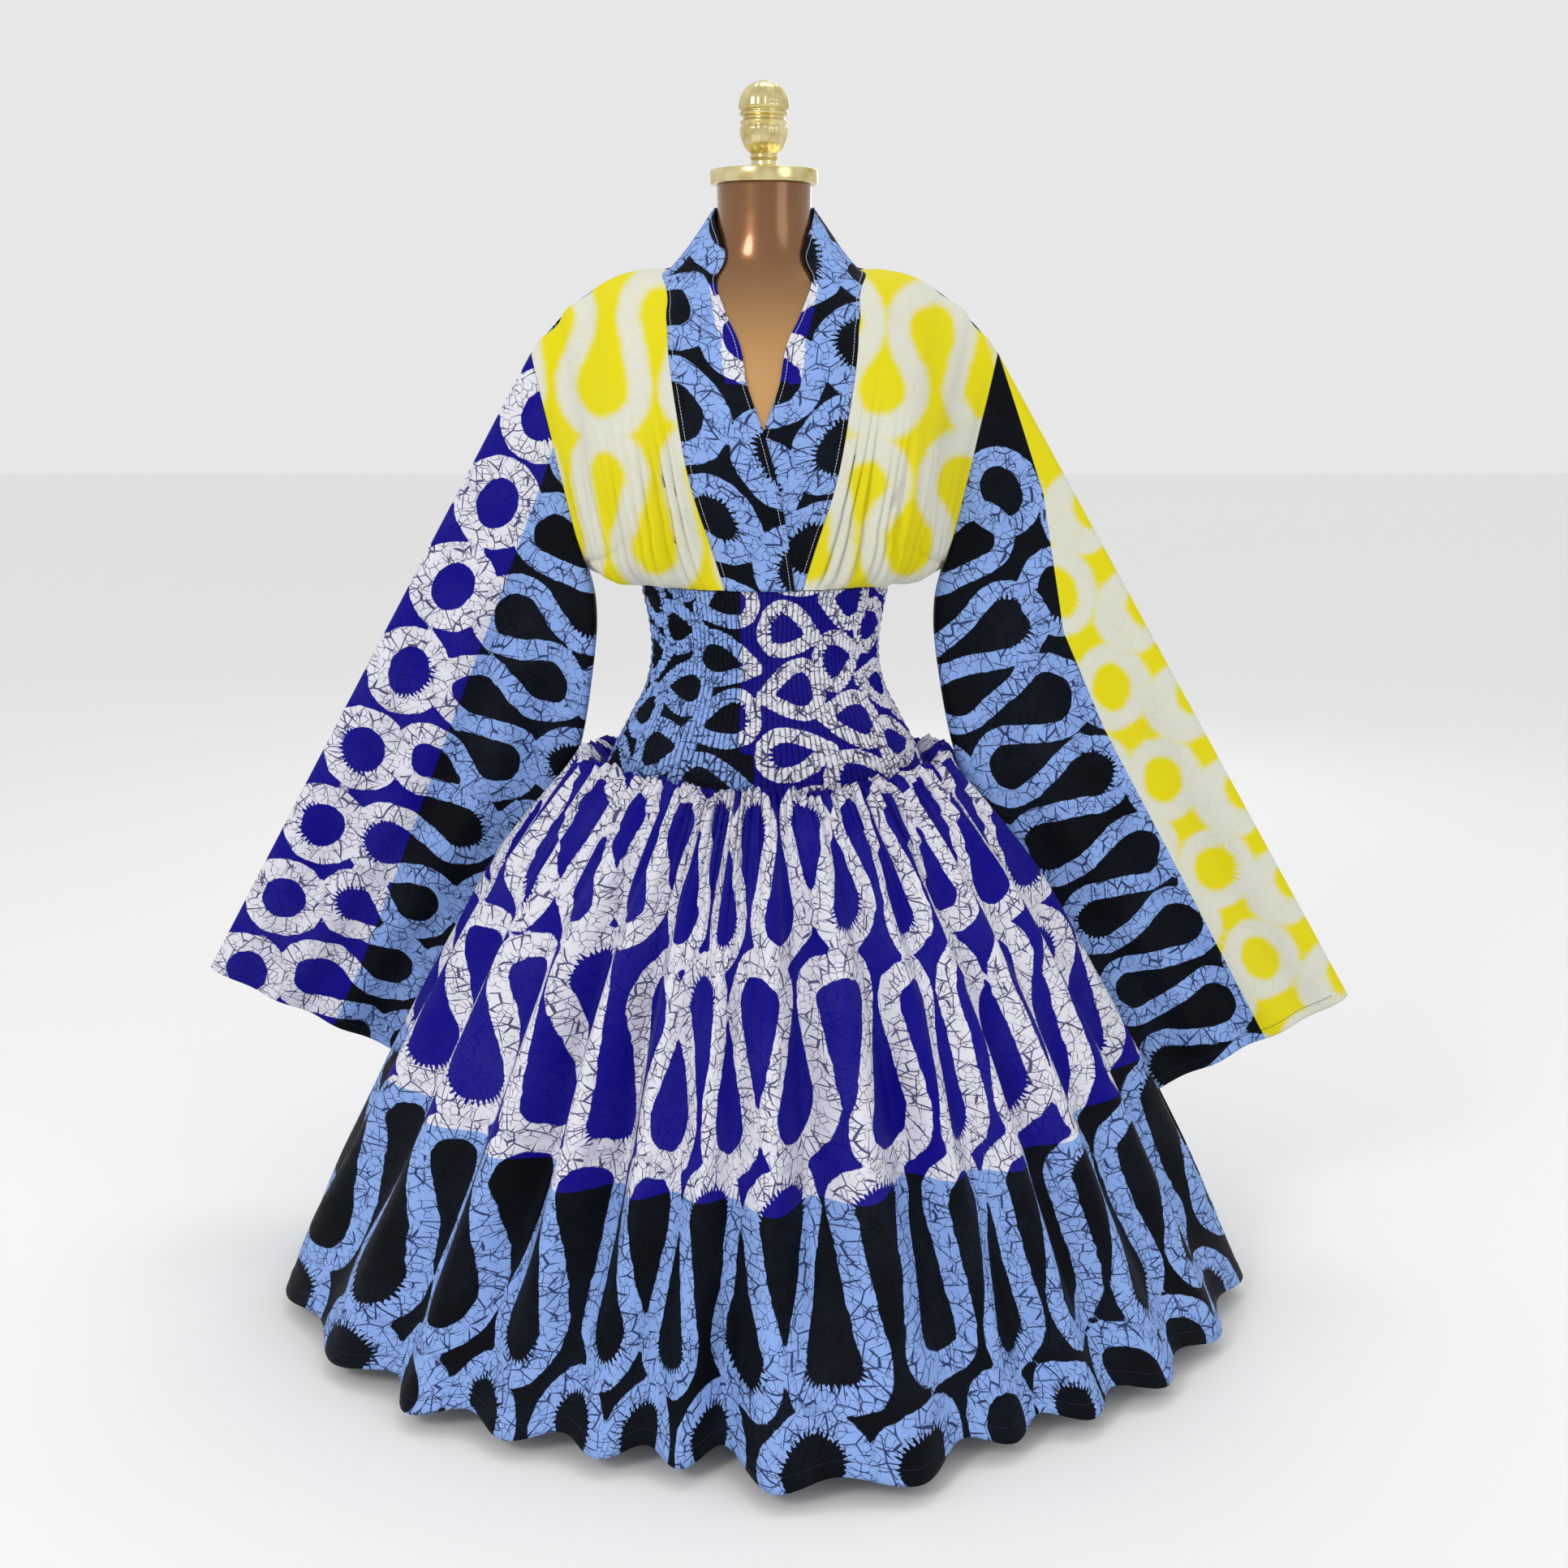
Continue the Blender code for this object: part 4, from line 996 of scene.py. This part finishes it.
def roll_to_waist(low, angle, turn):
    """Rounds the blouse from its fullest line in under itself, down to the waist seam."""
    waist = on_form(angle, np.full(len(low), BAND_ROWS[0].inner_height + 0.0012), BAND_GAP)
    inward = (1 - np.cos(turn * math.pi / 2))[:, None]
    downward = np.sin(turn * math.pi / 2)
    point = mix(low, waist, inward)
    point[:, 2] = mix(low[:, 2], waist[:, 2], downward)
    return point


def gathers(across, count, place, seed):
    """How far out the gathers stand: none at the chest, full just above the waist."""
    fade = smooth_step(3.6, 0.6, place) * mix(0.35, 1, smooth_step(0, 0.5, place))
    uneven = crumple(seed, 0.12, np.stack([across, place * 0.05], axis=1))
    wave = np.cos((across * count + 0.55 * uneven) * math.tau)
    second = 0.4 * np.cos((across * count * 1.7 + uneven) * math.tau)
    return BLOUSE_GATHER * fade * (wave + second) * (0.75 + 0.5 * uneven)


def front_main(across, place, over):
    """Points of the left front above the roll, from the neckband to the armhole."""
    share = (NECK_SIDE_ROW - place) / (NECK_SIDE_ROW - 1)
    edge = band_point(place, np.ones(len(place)), over)
    end_x = mix(SHOULDER_X, UNDERARM_X, share)
    end_z = mix(SHOULDER_Z, UNDERARM_Z, share)
    side = armhole_depth(share)
    arch = 4 * across * (1 - across) * SHOULDER_ARCH * (1 - share) ** 2
    fall = (1 - across**SIDE_FALL) ** SIDE_SOFTNESS
    fullness = FRONT_FULLNESS * np.sin(math.pi * across) ** 2 * smooth_step(0, 0.7, share)
    depth = side + (-edge[:, 1] - side) * fall + fullness
    x = mix(edge[:, 0] + SEAM_GAP, end_x, across)
    return np.stack([x, -depth, mix(edge[:, 2], end_z, across) + arch], axis=1)


def front_point(across, place, over):
    """Points of the left front: the blouse, its gathers and its roll into the waist."""
    main = np.maximum(place, 1)
    turn = np.clip(1 - place, 0, 1)
    point = front_main(across, main, over)
    angle = mix(BAND_ROWS[0].outer_angle, 90, across)
    rolled = roll_to_waist(point, angle, turn)
    start = roll_to_waist(
        front_main(np.zeros(len(place)), np.ones(len(place)), over),
        np.full(len(place), BAND_ROWS[0].outer_angle), turn,
    )
    edge = band_point(place, np.ones(len(place)), over) + [SEAM_GAP, 0, 0]
    rolled = rolled + (edge - start) * ((1 - across) ** 4)[:, None]
    point = np.where((place < 1)[:, None], rolled, point)
    inner = smooth_step(0, 0.12, across) * smooth_step(1, 0.86, across)
    swell = gathers(across, FRONT_GATHERS, place, 7 + over)
    drape = crumple(9 + over, 0.05, point[:, [0, 2]] * [1.6, 0.6]) * smooth_step(0.3, 1.5, place)
    slant = (point[:, 0] * 0.92 + (1.06 - point[:, 2]) * 0.22) / 0.045
    pull = np.cos(slant * math.tau) * smooth_step(0.45, 0.8, across) * smooth_step(1.2, 2.5, place)
    swell = (swell + BLOUSE_DRAPE * (drape + 0.6) + BLOUSE_PULL * pull) * inner
    outward = unit(point * [1, 1, 0])
    point = point + outward * swell[:, None]
    bulge = smooth_step(2.2, 1.0, place) * smooth_step(0, 0.4, place) * inner
    puffs = crumple(13 + over, 0.13, np.stack([across, place * 0.02], axis=1))
    point[:, 2] -= BLOUSE_SAG * bulge * (0.6 + puffs)
    return clear_of_form(point, band_gap(place, over))


def blouse_place(row):
    return between(ROW_STOPS, row * (len(ROW_STOPS) - 1))


def make_front(name, side, over, node_name, ribbons):
    def place(column, row):
        points = front_point(column, blouse_place(row), over)
        return (points - [0, SEAM_GAP / 2, 0]) * [side, 1, 1]

    def cut(column, row, points):
        return np.stack([np.abs(points[:, 0]) * BLOUSE_SPREAD, points[:, 2]], axis=1)

    front = cloth_piece(
        name, FRONT_COLUMNS, BLOUSE_LEVELS, place, cut, ribbons, lambda p, q: 1.0,
        yellow_and_black, ribbon_width=0.027,
    )
    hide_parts(node_name)


yellow_and_black = wax_print("waxed_cotton_yellow_and_black", YELLOW, BLACK)
right_front_ribbons = [
    curled_ribbon(-0.12, 0.46, 1.060, 0.076, 0.124, 51, 0.33, 0),
    curled_ribbon(-0.17, 0.46, 0.896, 0.078, 0.118, 52, 0.33, 0),
]
left_front_ribbons = [
    curled_ribbon(-0.16, 0.46, 1.052, 0.076, 0.120, 53, 0.33, 0),
    curled_ribbon(-0.13, 0.46, 0.888, 0.078, 0.122, 54, 0.33, 0),
]
make_front(
    "blouse_front_left", 1, 0, "bodice_front_left", left_front_ribbons
)
make_front(
    "blouse_front_right", -1, 1, "bodice_front_right", right_front_ribbons
)


def back_top(across):
    """The top edge of the back on the left side: the nape, then the shoulder seam."""
    count = len(across)
    neck_place = mix(NAPE_ROW, NECK_SIDE_ROW, np.minimum(across / BACK_NECK_SHARE, 1))
    neck = band_point(neck_place, np.ones(count), 0) + [0, SEAM_GAP, -SEAM_GAP]
    beyond = np.clip((across - BACK_NECK_SHARE) / (1 - BACK_NECK_SHARE), 0, 1)
    shoulder = front_main(beyond, np.full(count, float(NECK_SIDE_ROW)), 0) * [1, 0, 1]
    return np.where((across < BACK_NECK_SHARE)[:, None], neck, shoulder)


def back_point(across, place):
    """Points of the left half of the back, from its middle to the armhole."""
    main = np.maximum(place, 1)
    share = np.clip((NECK_SIDE_ROW - main) / (NECK_SIDE_ROW - 1), 0, 1)
    top = back_top(across)
    drop = share ** (1 + BACK_DROP * (1 - across**2))
    low_z = mix(BACK_LOW_Z, UNDERARM_Z, across**2)
    x = mix(top[:, 0], UNDERARM_X * across, share)
    z = mix(top[:, 2], low_z, drop)
    fall = (1 - across**SIDE_FALL) ** SIDE_SOFTNESS
    side = armhole_depth(share)
    onset = np.sin(np.minimum(1, share / BACK_ONSET) * math.pi / 2)
    full = form_reach(z)[2] + BAND_GAP + BACK_FULLNESS * smooth_step(0, 0.8, share)
    y = side + (full - side) * fall * onset + top[:, 1] * (1 - onset)
    point = np.stack([x, y, z], axis=1)
    loose = (share > 0) & (share < BACK_ONSET) & (across < 1)
    eased = clear_of_form(point, BACK_SHOULDER_GAP * smooth_step(1, 0.8, across))
    point = np.where(loose[:, None], eased, point)
    rolled = roll_to_waist(point, 180 - 90 * across, np.clip(1 - place, 0, 1))
    point = np.where((place < 1)[:, None], rolled, point)
    inner = smooth_step(1, 0.86, across)
    drape = crumple(12, 0.05, point[:, [0, 2]] * [1.5, 0.5]) * smooth_step(0.3, 1.5, place)
    fade = smooth_step(5.6, 4.2, place)
    swell = gathers(across, FRONT_GATHERS, place, 5) + BACK_DRAPE * (drape + 0.6) * fade
    outward = unit(point * [1, 1, 0])
    return clear_of_form(point + outward * (swell * inner)[:, None], BAND_GAP)


def back_place(column, row):
    across = 2 * column - 1
    points = back_point(np.minimum(np.abs(across), 1), blouse_place(row))
    points[:, 0] *= np.sign(across)
    return points + [0, SEAM_GAP / 2, 0]


back_ribbons = [
    curled_ribbon(-0.42, 0.42, 1.07, 0.074, 0.116, 61),
    curled_ribbon(-0.42, 0.42, 0.905, 0.074, 0.112, 62),
]
blouse_back = cloth_piece(
    "blouse_back", BACK_COLUMNS, BLOUSE_LEVELS, back_place,
    lambda column, row, points: np.stack([points[:, 0] * BLOUSE_SPREAD, points[:, 2]], 1),
    back_ribbons, lambda places, points: 0.965 - points[:, 2], royal_and_black,
)
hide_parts("bodice_back")


# The sleeves
# Each wide sleeve is a front and a back panel, sewn along the outer edge and under the arm. The
# cloth is printed black, with a yellow or royal zone along that edge, and its ribbons run on
# across the border. The sleeve is set into the armhole and hemmed at the cuff.

SleeveRow = namedtuple("SleeveRow", "outer_share inner_x inner_z half_depth")
SLEEVE_ROWS = (
    SleeveRow(0.00, UNDERARM_X, UNDERARM_Z, ARMHOLE_HALF_DEPTH),
    SleeveRow(0.08, 0.1885, 0.7920, 0.0200),
    SleeveRow(0.19, 0.1920, 0.7280, 0.0190),
    SleeveRow(0.37, 0.2165, 0.6125, 0.0175),
    SleeveRow(0.58, 0.2700, 0.4700, 0.0160),
    SleeveRow(0.79, 0.3230, 0.3250, 0.0150),
    SleeveRow(1.00, 0.3770, 0.1800, 0.0150),
)
CUFF_X = 0.676
CUFF_Z = 0.332
RIGHT_SWING = 0.130
SWING_DROP = 0.880
SWING_POWER = 1.2
# The swing starts at the armhole, so that the seam there stays closed
SWING_ONSET = 0.08
ARMHOLE_LENGTH = math.hypot(SHOULDER_X - UNDERARM_X, SHOULDER_Z - UNDERARM_Z)
OUT_OF_ARMHOLE = np.array([SHOULDER_Z - UNDERARM_Z, UNDERARM_X - SHOULDER_X]) / ARMHOLE_LENGTH
SLEEVE_COLUMNS = 150
SLEEVE_LEVELS = 140
HEM_WIDTH = 0.018
HEM_STEP = 0.0006
HEM_STITCH = 0.0155
CUFF_STITCHES = ((0.03, 0.47), (0.53, 0.97))
SECTION_HALF_WIDTH = 0.16
SECTION_HALF_DEPTH = 0.017
cuff_lines = []
OUTER_EDGE = np.array([CUFF_X - SHOULDER_X, CUFF_Z - SHOULDER_Z])
OUTER_LENGTH = np.hypot(*OUTER_EDGE)
HEMMED_LENGTH = OUTER_LENGTH * 0.95
DOWN_ARM = OUTER_EDGE / OUTER_LENGTH
INTO_SLEEVE = np.array([DOWN_ARM[1], -DOWN_ARM[0]])
YELLOW_STRIP = np.array([(0.0, 0.0), (0.053, 0.010), (0.156, 0.030), (0.297, 0.083),
                         (0.418, 0.096), (0.85, 0.107)])
ROYAL_STRIP = np.array([(0.0, 0.055), (0.113, 0.0765), (0.42, 0.115), (0.731, 0.156),
                        (0.85, 0.165)])


def squared(wave):
    """Makes a round section an oblong with round corners."""
    return np.sign(wave) * np.abs(wave) ** (2 / ARMHOLE_ROUNDNESS)


# Even steps round the flat section of a sleeve, which is about ten times as wide as it is deep
section_turns = np.linspace(0, math.tau, 8001)
section_points = np.stack([
    squared(np.cos(section_turns)) * SECTION_HALF_WIDTH,
    squared(np.sin(section_turns)) * SECTION_HALF_DEPTH,
], axis=1)
section_steps = np.linalg.norm(np.diff(section_points, axis=0), axis=1)
round_metres = np.concatenate([[0], np.cumsum(section_steps)])


def sleeve_point(turn, down, side, swing):
    """Points of a sleeve's flat tube, round its section and down its length."""
    place = down * (len(SLEEVE_ROWS) - 1)
    read = [between([row[i] for row in SLEEVE_ROWS], place) for i in range(4)]
    outer_share, inner_x, inner_z, half_depth = read
    outer = np.stack([mix(SHOULDER_X, CUFF_X, outer_share), mix(SHOULDER_Z, CUFF_Z, outer_share)], 1)
    inner = np.stack([inner_x, inner_z], axis=1)
    along = squared(np.cos(turn))
    deep = squared(np.sin(turn))
    spot = (outer + inner) / 2 + (outer - inner) / 2 * along[:, None]
    drop = np.maximum(SHOULDER_Z - spot[:, 1], 0) / SWING_DROP
    from_armhole = (spot - [SHOULDER_X, SHOULDER_Z]) @ OUT_OF_ARMHOLE
    swing = swing * smooth_step(0, SWING_ONSET, from_armhole)
    arm = (spot - [SHOULDER_X, SHOULDER_Z]) @ np.stack([DOWN_ARM, INTO_SLEEVE], axis=1)
    fall = smooth_step(0.05, 0.35, arm[:, 0])
    wave = np.sin((arm[:, 1] / 0.105 + 0.5 * crumple(71, 0.25, arm)) * math.tau)
    inside = 1 - np.abs(along) ** 6
    ripple = (0.0042 * fall * wave + 0.0022 * crumple(72, 0.06, arm * [0.6, 1])) * inside
    hem = smooth_step(HEM_WIDTH + 0.001, HEM_WIDTH, HEMMED_LENGTH * (1 - down))
    y = deep * (half_depth + HEM_STEP * hem) + drop**SWING_POWER * swing + ripple
    return np.stack([(spot[:, 0] + SEAM_GAP) * side, y, spot[:, 1]], axis=1)


def make_sleeve(
    name, side, swing, strip, material, node_name, ribbons, ribbon_width
):
    def place(column, row):
        turn = np.interp((column % 1) * round_metres[-1], round_metres, section_turns)
        return sleeve_point(turn, row, side, swing)

    def cut(column, row, points):
        spot = np.stack([np.abs(points[:, 0]) - SEAM_GAP, points[:, 2]], axis=1)
        arm = (spot - [SHOULDER_X, SHOULDER_Z]) @ np.stack([INTO_SLEEVE, DOWN_ARM], axis=1)
        arm[:, 0] = np.where(column > 0.5, -arm[:, 0], arm[:, 0])
        return arm

    def zone(places, points):
        return np.interp(places[:, 1], strip[:, 0], strip[:, 1]) - np.abs(places[:, 0])

    sleeve = cloth_piece(
        name, SLEEVE_COLUMNS, SLEEVE_LEVELS, place, cut, ribbons, zone, material, closes=True,
        ribbon_width=ribbon_width,
    )
    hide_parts(node_name + "_front", node_name + "_back")
    for ends in CUFF_STITCHES:
        columns = np.linspace(*ends, 400)
        rows = np.full(len(columns), 1 - HEM_STITCH / HEMMED_LENGTH)
        behind = 1 if ends[1] < 0.5 else -1
        cuff_lines.append(seam_line(place, columns, rows, np.array([0, behind, 0])))


PrintRow = namedtuple("PrintRow", "level height period seed")
LEFT_SLEEVE_PRINT = (PrintRow(0.172, 0.078, 0.102, 81), PrintRow(0.318, 0.068, 0.106, 82))
RIGHT_SLEEVE_PRINT = (PrintRow(0.150, 0.072, 0.104, 83), PrintRow(0.290, 0.068, 0.108, 84))
left_sleeve_ribbons = []
right_sleeve_ribbons = []
for flip in (1, -1):
    for i in range(8):
        spread = ring(0.066 * flip, 0.13 + 0.124 * i, 0.033, 0.038, 80 + i)
        left_sleeve_ribbons.append(spread)
        spread = ring(0.008 * flip, 0.192 + 0.124 * i, 0.031, 0.035, 90 + i)
        left_sleeve_ribbons.append(spread)
        spread = ring(0.042 * flip, 0.05 + 0.110 * i, 0.036, 0.040, 100 + i)
        right_sleeve_ribbons.append(spread)
    for row in LEFT_SLEEVE_PRINT:
        left_sleeve_ribbons.append(lengthwise(curled_ribbon(-0.1, 0.95, *row), flip))
    for row in RIGHT_SLEEVE_PRINT:
        right_sleeve_ribbons.append(lengthwise(curled_ribbon(-0.1, 0.95, *row), flip))
make_sleeve(
    "wide_sleeve_left", 1, 0, YELLOW_STRIP, yellow_and_black, "sleeve_left",
    left_sleeve_ribbons, 0.021,
)
make_sleeve(
    "wide_sleeve_right", -1, RIGHT_SWING, ROYAL_STRIP, royal_and_black, "sleeve_right",
    right_sleeve_ribbons, 0.024,
)
stitched("cuff_stitches", cuff_lines, navy_thread)


# The skirt
# A front and a back panel of royal waxed cotton with a black border, gathered by hand into the
# waist seam and sewn at the sides. The starched cloth stands out in tall soft folds.

SkirtRow = namedtuple("SkirtRow", "height side front back fold gather tuck lift")
SKIRT_ROWS = (
    SkirtRow(0.6003, 0.1784, 0.1329, 0.1249, 0.000, 0.0000, 0.1784, 0.000),
    SkirtRow(0.6005, 0.1838, 0.1385, 0.1305, 0.000, 0.0008, 0.1838, 0.000),
    SkirtRow(0.6080, 0.2000, 0.1500, 0.1420, 0.001, 0.0040, 0.1990, 0.014),
    SkirtRow(0.5850, 0.2260, 0.1720, 0.1650, 0.003, 0.0050, 0.2090, 0.010),
    SkirtRow(0.5000, 0.2980, 0.2330, 0.2350, 0.009, 0.0030, 0.2500, 0.000),
    SkirtRow(0.4000, 0.3540, 0.2900, 0.2900, 0.013, 0.0000, 0.2880, 0.000),
    SkirtRow(0.2900, 0.4120, 0.3430, 0.3450, 0.016, 0.0000, 0.3280, 0.000),
    SkirtRow(0.1650, 0.4780, 0.4000, 0.4000, 0.015, 0.0000, 0.3680, 0.000),
    SkirtRow(0.0900, 0.5200, 0.4360, 0.4320, 0.013, 0.0000, 0.4800, 0.000),
    SkirtRow(0.0300, 0.5500, 0.4680, 0.4550, 0.012, 0.0000, 0.5350, 0.000),
)
SKIRT_TABLE = np.array(SKIRT_ROWS)
SKIRT_COLUMNS = 364
SKIRT_LEVELS = 100
SKIRT_TRIM = 0.004
FOLDS = 14
Valley = namedtuple("Valley", "angle upper_depth hem_depth upper_ridge hem_ridge")
FRONT_VALLEYS = (
    Valley(-90.0, 1.0, 1.0, 1.2, 0.8),
    Valley(-75.0, 0.5, 0.9, 1.2, 1.1),
    Valley(-62.0, 1.1, 0.7, 1.1, 1.0),
    Valley(-50.0, 0.6, 1.3, 1.2, 1.5),
    Valley(-37.5, 1.9, 0.8, 1.2, 0.8),
    Valley(-24.5, 1.8, 0.9, 0.9, 0.6),
    Valley(-14.0, 0.4, 0.9, 0.9, 0.7),
    Valley(-5.0, 0.8, 1.6, 1.1, 3.6),
    Valley(8.0, 1.9, -2.9, 1.1, 3.9),
    Valley(24.5, 1.7, 0.2, 0.9, 0.8),
    Valley(35.0, 0.5, 0.8, 1.0, 1.0),
    Valley(46.0, 1.2, 1.1, 1.0, 1.1),
    Valley(58.0, 0.6, 0.6, 1.0, 0.9),
    Valley(72.0, 0.9, 1.0, 1.1, 0.8),
)
BACK_UNEVENNESS = 2.2
BACK_DEPTH = 1.1
BACK_DEPTH_SWING = 0.5
BACK_RIDGE_SWING = 0.3
TUCK_POWER = 2.7
RIGHT_LEAN = 17.5
LEAN_FROM = -50.0
HEM_DIP = 0.010
FINE_GATHERS = 5
RUFFLE = 0.0036
RUFFLE_RISE = 0.006
SMALL_RUMPLE = 0.0020
LARGE_RUMPLE = 0.0035
SEAM_WIDTH = 1.15
HEM_CUT_WIDTH = 1.85

back_numbers = np.arange(FOLDS)
back_swing = BACK_DEPTH + BACK_RIDGE_SWING * np.sin(back_numbers * 1.7)
back_valleys = np.stack([
    90 + 180 * back_numbers / FOLDS
    + np.where(back_numbers > 0, np.sin(back_numbers * 2.1) * BACK_UNEVENNESS, 0),
    BACK_DEPTH + BACK_DEPTH_SWING * np.sin(back_numbers * 2.7),
    np.full(FOLDS, BACK_DEPTH),
    back_swing,
    back_swing,
], axis=1)
VALLEYS = np.concatenate([np.array(FRONT_VALLEYS), back_valleys])


def fold_angle(phase):
    """The angle of a fold phase. The tuck on the right leans back, and its folds follow."""
    stops = np.append(VALLEYS[:, 0], 270)
    angle = np.interp(phase % (2 * FOLDS), np.arange(2 * FOLDS + 1), stops)
    angle = np.where(angle > 180, angle - 360, angle)
    front = mix(LEAN_FROM, -90 - RIGHT_LEAN, (LEAN_FROM - angle) / (90 + LEAN_FROM))
    back = mix(-180, -90 - RIGHT_LEAN, (angle + 180) / 90)
    return np.where(angle < -90, back, np.where(angle < LEAN_FROM, front, angle))


def skirt_point(phase, down):
    """Points of the skirt. A whole phase is a valley, and a half is the ridge between."""
    place = down * (len(SKIRT_ROWS) - 1)
    row = SkirtRow(*[between(SKIRT_TABLE[:, i], place) for i in range(8)])
    turn = np.radians(fold_angle(phase))
    across, ahead = np.sin(turn), np.cos(turn)
    depth = np.where(ahead > 0, row.front, row.back)
    ring_reach = 1 / np.hypot(across / row.side, ahead / depth)
    nearest = VALLEYS[np.round(phase).astype(int) % (2 * FOLDS)]
    fold = VALLEYS[np.floor(phase).astype(int) % (2 * FOLDS)]
    lower = smooth_step(6, 8.5, place)
    dip = mix(nearest[:, 1], nearest[:, 2], lower)
    ridge = mix(fold[:, 3], fold[:, 4], lower)
    low = (1 + np.cos(phase * math.tau)) / 2
    reach = ring_reach + row.fold * (ridge - (ridge + dip) * low)
    from_seam = np.abs((phase + FOLDS / 2) % FOLDS - FOLDS / 2)
    crest = ring_reach + row.fold * ridge
    tucked = mix(np.minimum(row.tuck, crest), crest, np.minimum(2 * from_seam, 1) ** TUCK_POWER)
    reach = np.where(from_seam < 0.5, tucked, reach)
    free = smooth_step(0.35, 0.8, from_seam)
    spot = np.stack([phase, place], axis=1)
    uneven = crumple(105, 1.3, spot)
    fine = np.cos((phase * FINE_GATHERS + 0.8 * uneven) * math.tau)
    fine = fine + 0.6 * np.cos((phase * 8.3 + uneven) * math.tau)
    puff = smooth_step(1.0, 2.2, place) * smooth_step(5.2, 2.6, place)
    reach = reach + row.gather * 0.6 * np.cos(2 * phase * math.tau + uneven)
    reach = reach + RUFFLE * puff * fine * (0.8 + 0.6 * uneven)
    loose = smooth_step(2.5, 4.0, place) * free
    reach = reach + SMALL_RUMPLE * loose * crumple(106, 1.0, spot * [2.1, 0.9])
    reach = reach + LARGE_RUMPLE * loose * crumple(107, 1.0, spot * [0.9, 0.5])
    z = row.height + row.lift * np.abs(across) ** 3
    brow = smooth_step(1.1, 2.0, place) * smooth_step(3.4, 2.0, place)
    z = z + RUFFLE_RISE * brow * (0.6 * fine + crumple(108, 0.45, spot))
    z = z - HEM_DIP * (1 - low) * smooth_step(7, 9, place)
    return np.stack([reach * across, -reach * ahead, z], axis=1)


down_stops = np.linspace(0, 1, 1500)
down_line = skirt_point(np.full(1500, 5.5), down_stops)
down_metres = np.concatenate([[0], np.cumsum(np.linalg.norm(np.diff(down_line, axis=0), axis=1))])
SKIRT_LENGTH = down_metres[-1]


def make_skirt(name, first_phase, node_name, ribbons):
    def place(column, row):
        phase = first_phase + SKIRT_TRIM + column * (FOLDS - 2 * SKIRT_TRIM)
        down = np.interp(row * SKIRT_LENGTH, down_metres, down_stops)
        points = skirt_point(phase, down)
        hem = smooth_step(HEM_WIDTH + 0.002, HEM_WIDTH - 0.002, (1 - row) * SKIRT_LENGTH)
        return points + unit(points * [1, 1, 0]) * (HEM_STEP * hem)[:, None]

    def cut(column, row, points):
        width = mix(SEAM_WIDTH, HEM_CUT_WIDTH, smooth_step(-0.3, 1.0, row))
        return np.stack([(column - 0.5) * width, row * SKIRT_LENGTH], axis=1)

    def zone(places, points):
        sideways = (places[:, 0] / 0.8) ** 2
        return 0.462 - 0.05 * sideways + 0.006 * np.sin(places[:, 0] * 17) - places[:, 1]

    skirt = cloth_piece(
        name, SKIRT_COLUMNS, SKIRT_LEVELS, place, cut, ribbons, zone, royal_and_black
    )
    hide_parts(node_name)
    columns = np.linspace(0.002, 0.998, 2500)
    rows = np.full(len(columns), 1 - HEM_STITCH / SKIRT_LENGTH)
    hem_lines.append(seam_line(place, columns, rows, place(columns, rows) * [1, 1, 0]))


def skirt_print(seed):
    """Rows of loops round the skirt, and one more that the hem cuts through."""
    return [
        curled_ribbon(-1.05, 1.05, 0.120, 0.092, 0.112, seed),
        curled_ribbon(-1.10, 1.05, 0.322, 0.104, 0.120, seed + 1),
        curled_ribbon(-1.06, 1.05, 0.535, 0.104, 0.120, seed + 2),
        curled_ribbon(-1.12, 1.05, 0.722, 0.074, 0.116, seed + 3),
    ]


hem_lines = []
make_skirt(
    "skirt_panel_front", 0, "skirt_front", skirt_print(200)
)
make_skirt(
    "skirt_panel_back", FOLDS, "skirt_back", skirt_print(300)
)
stitched("hem_stitches", hem_lines, navy_thread)
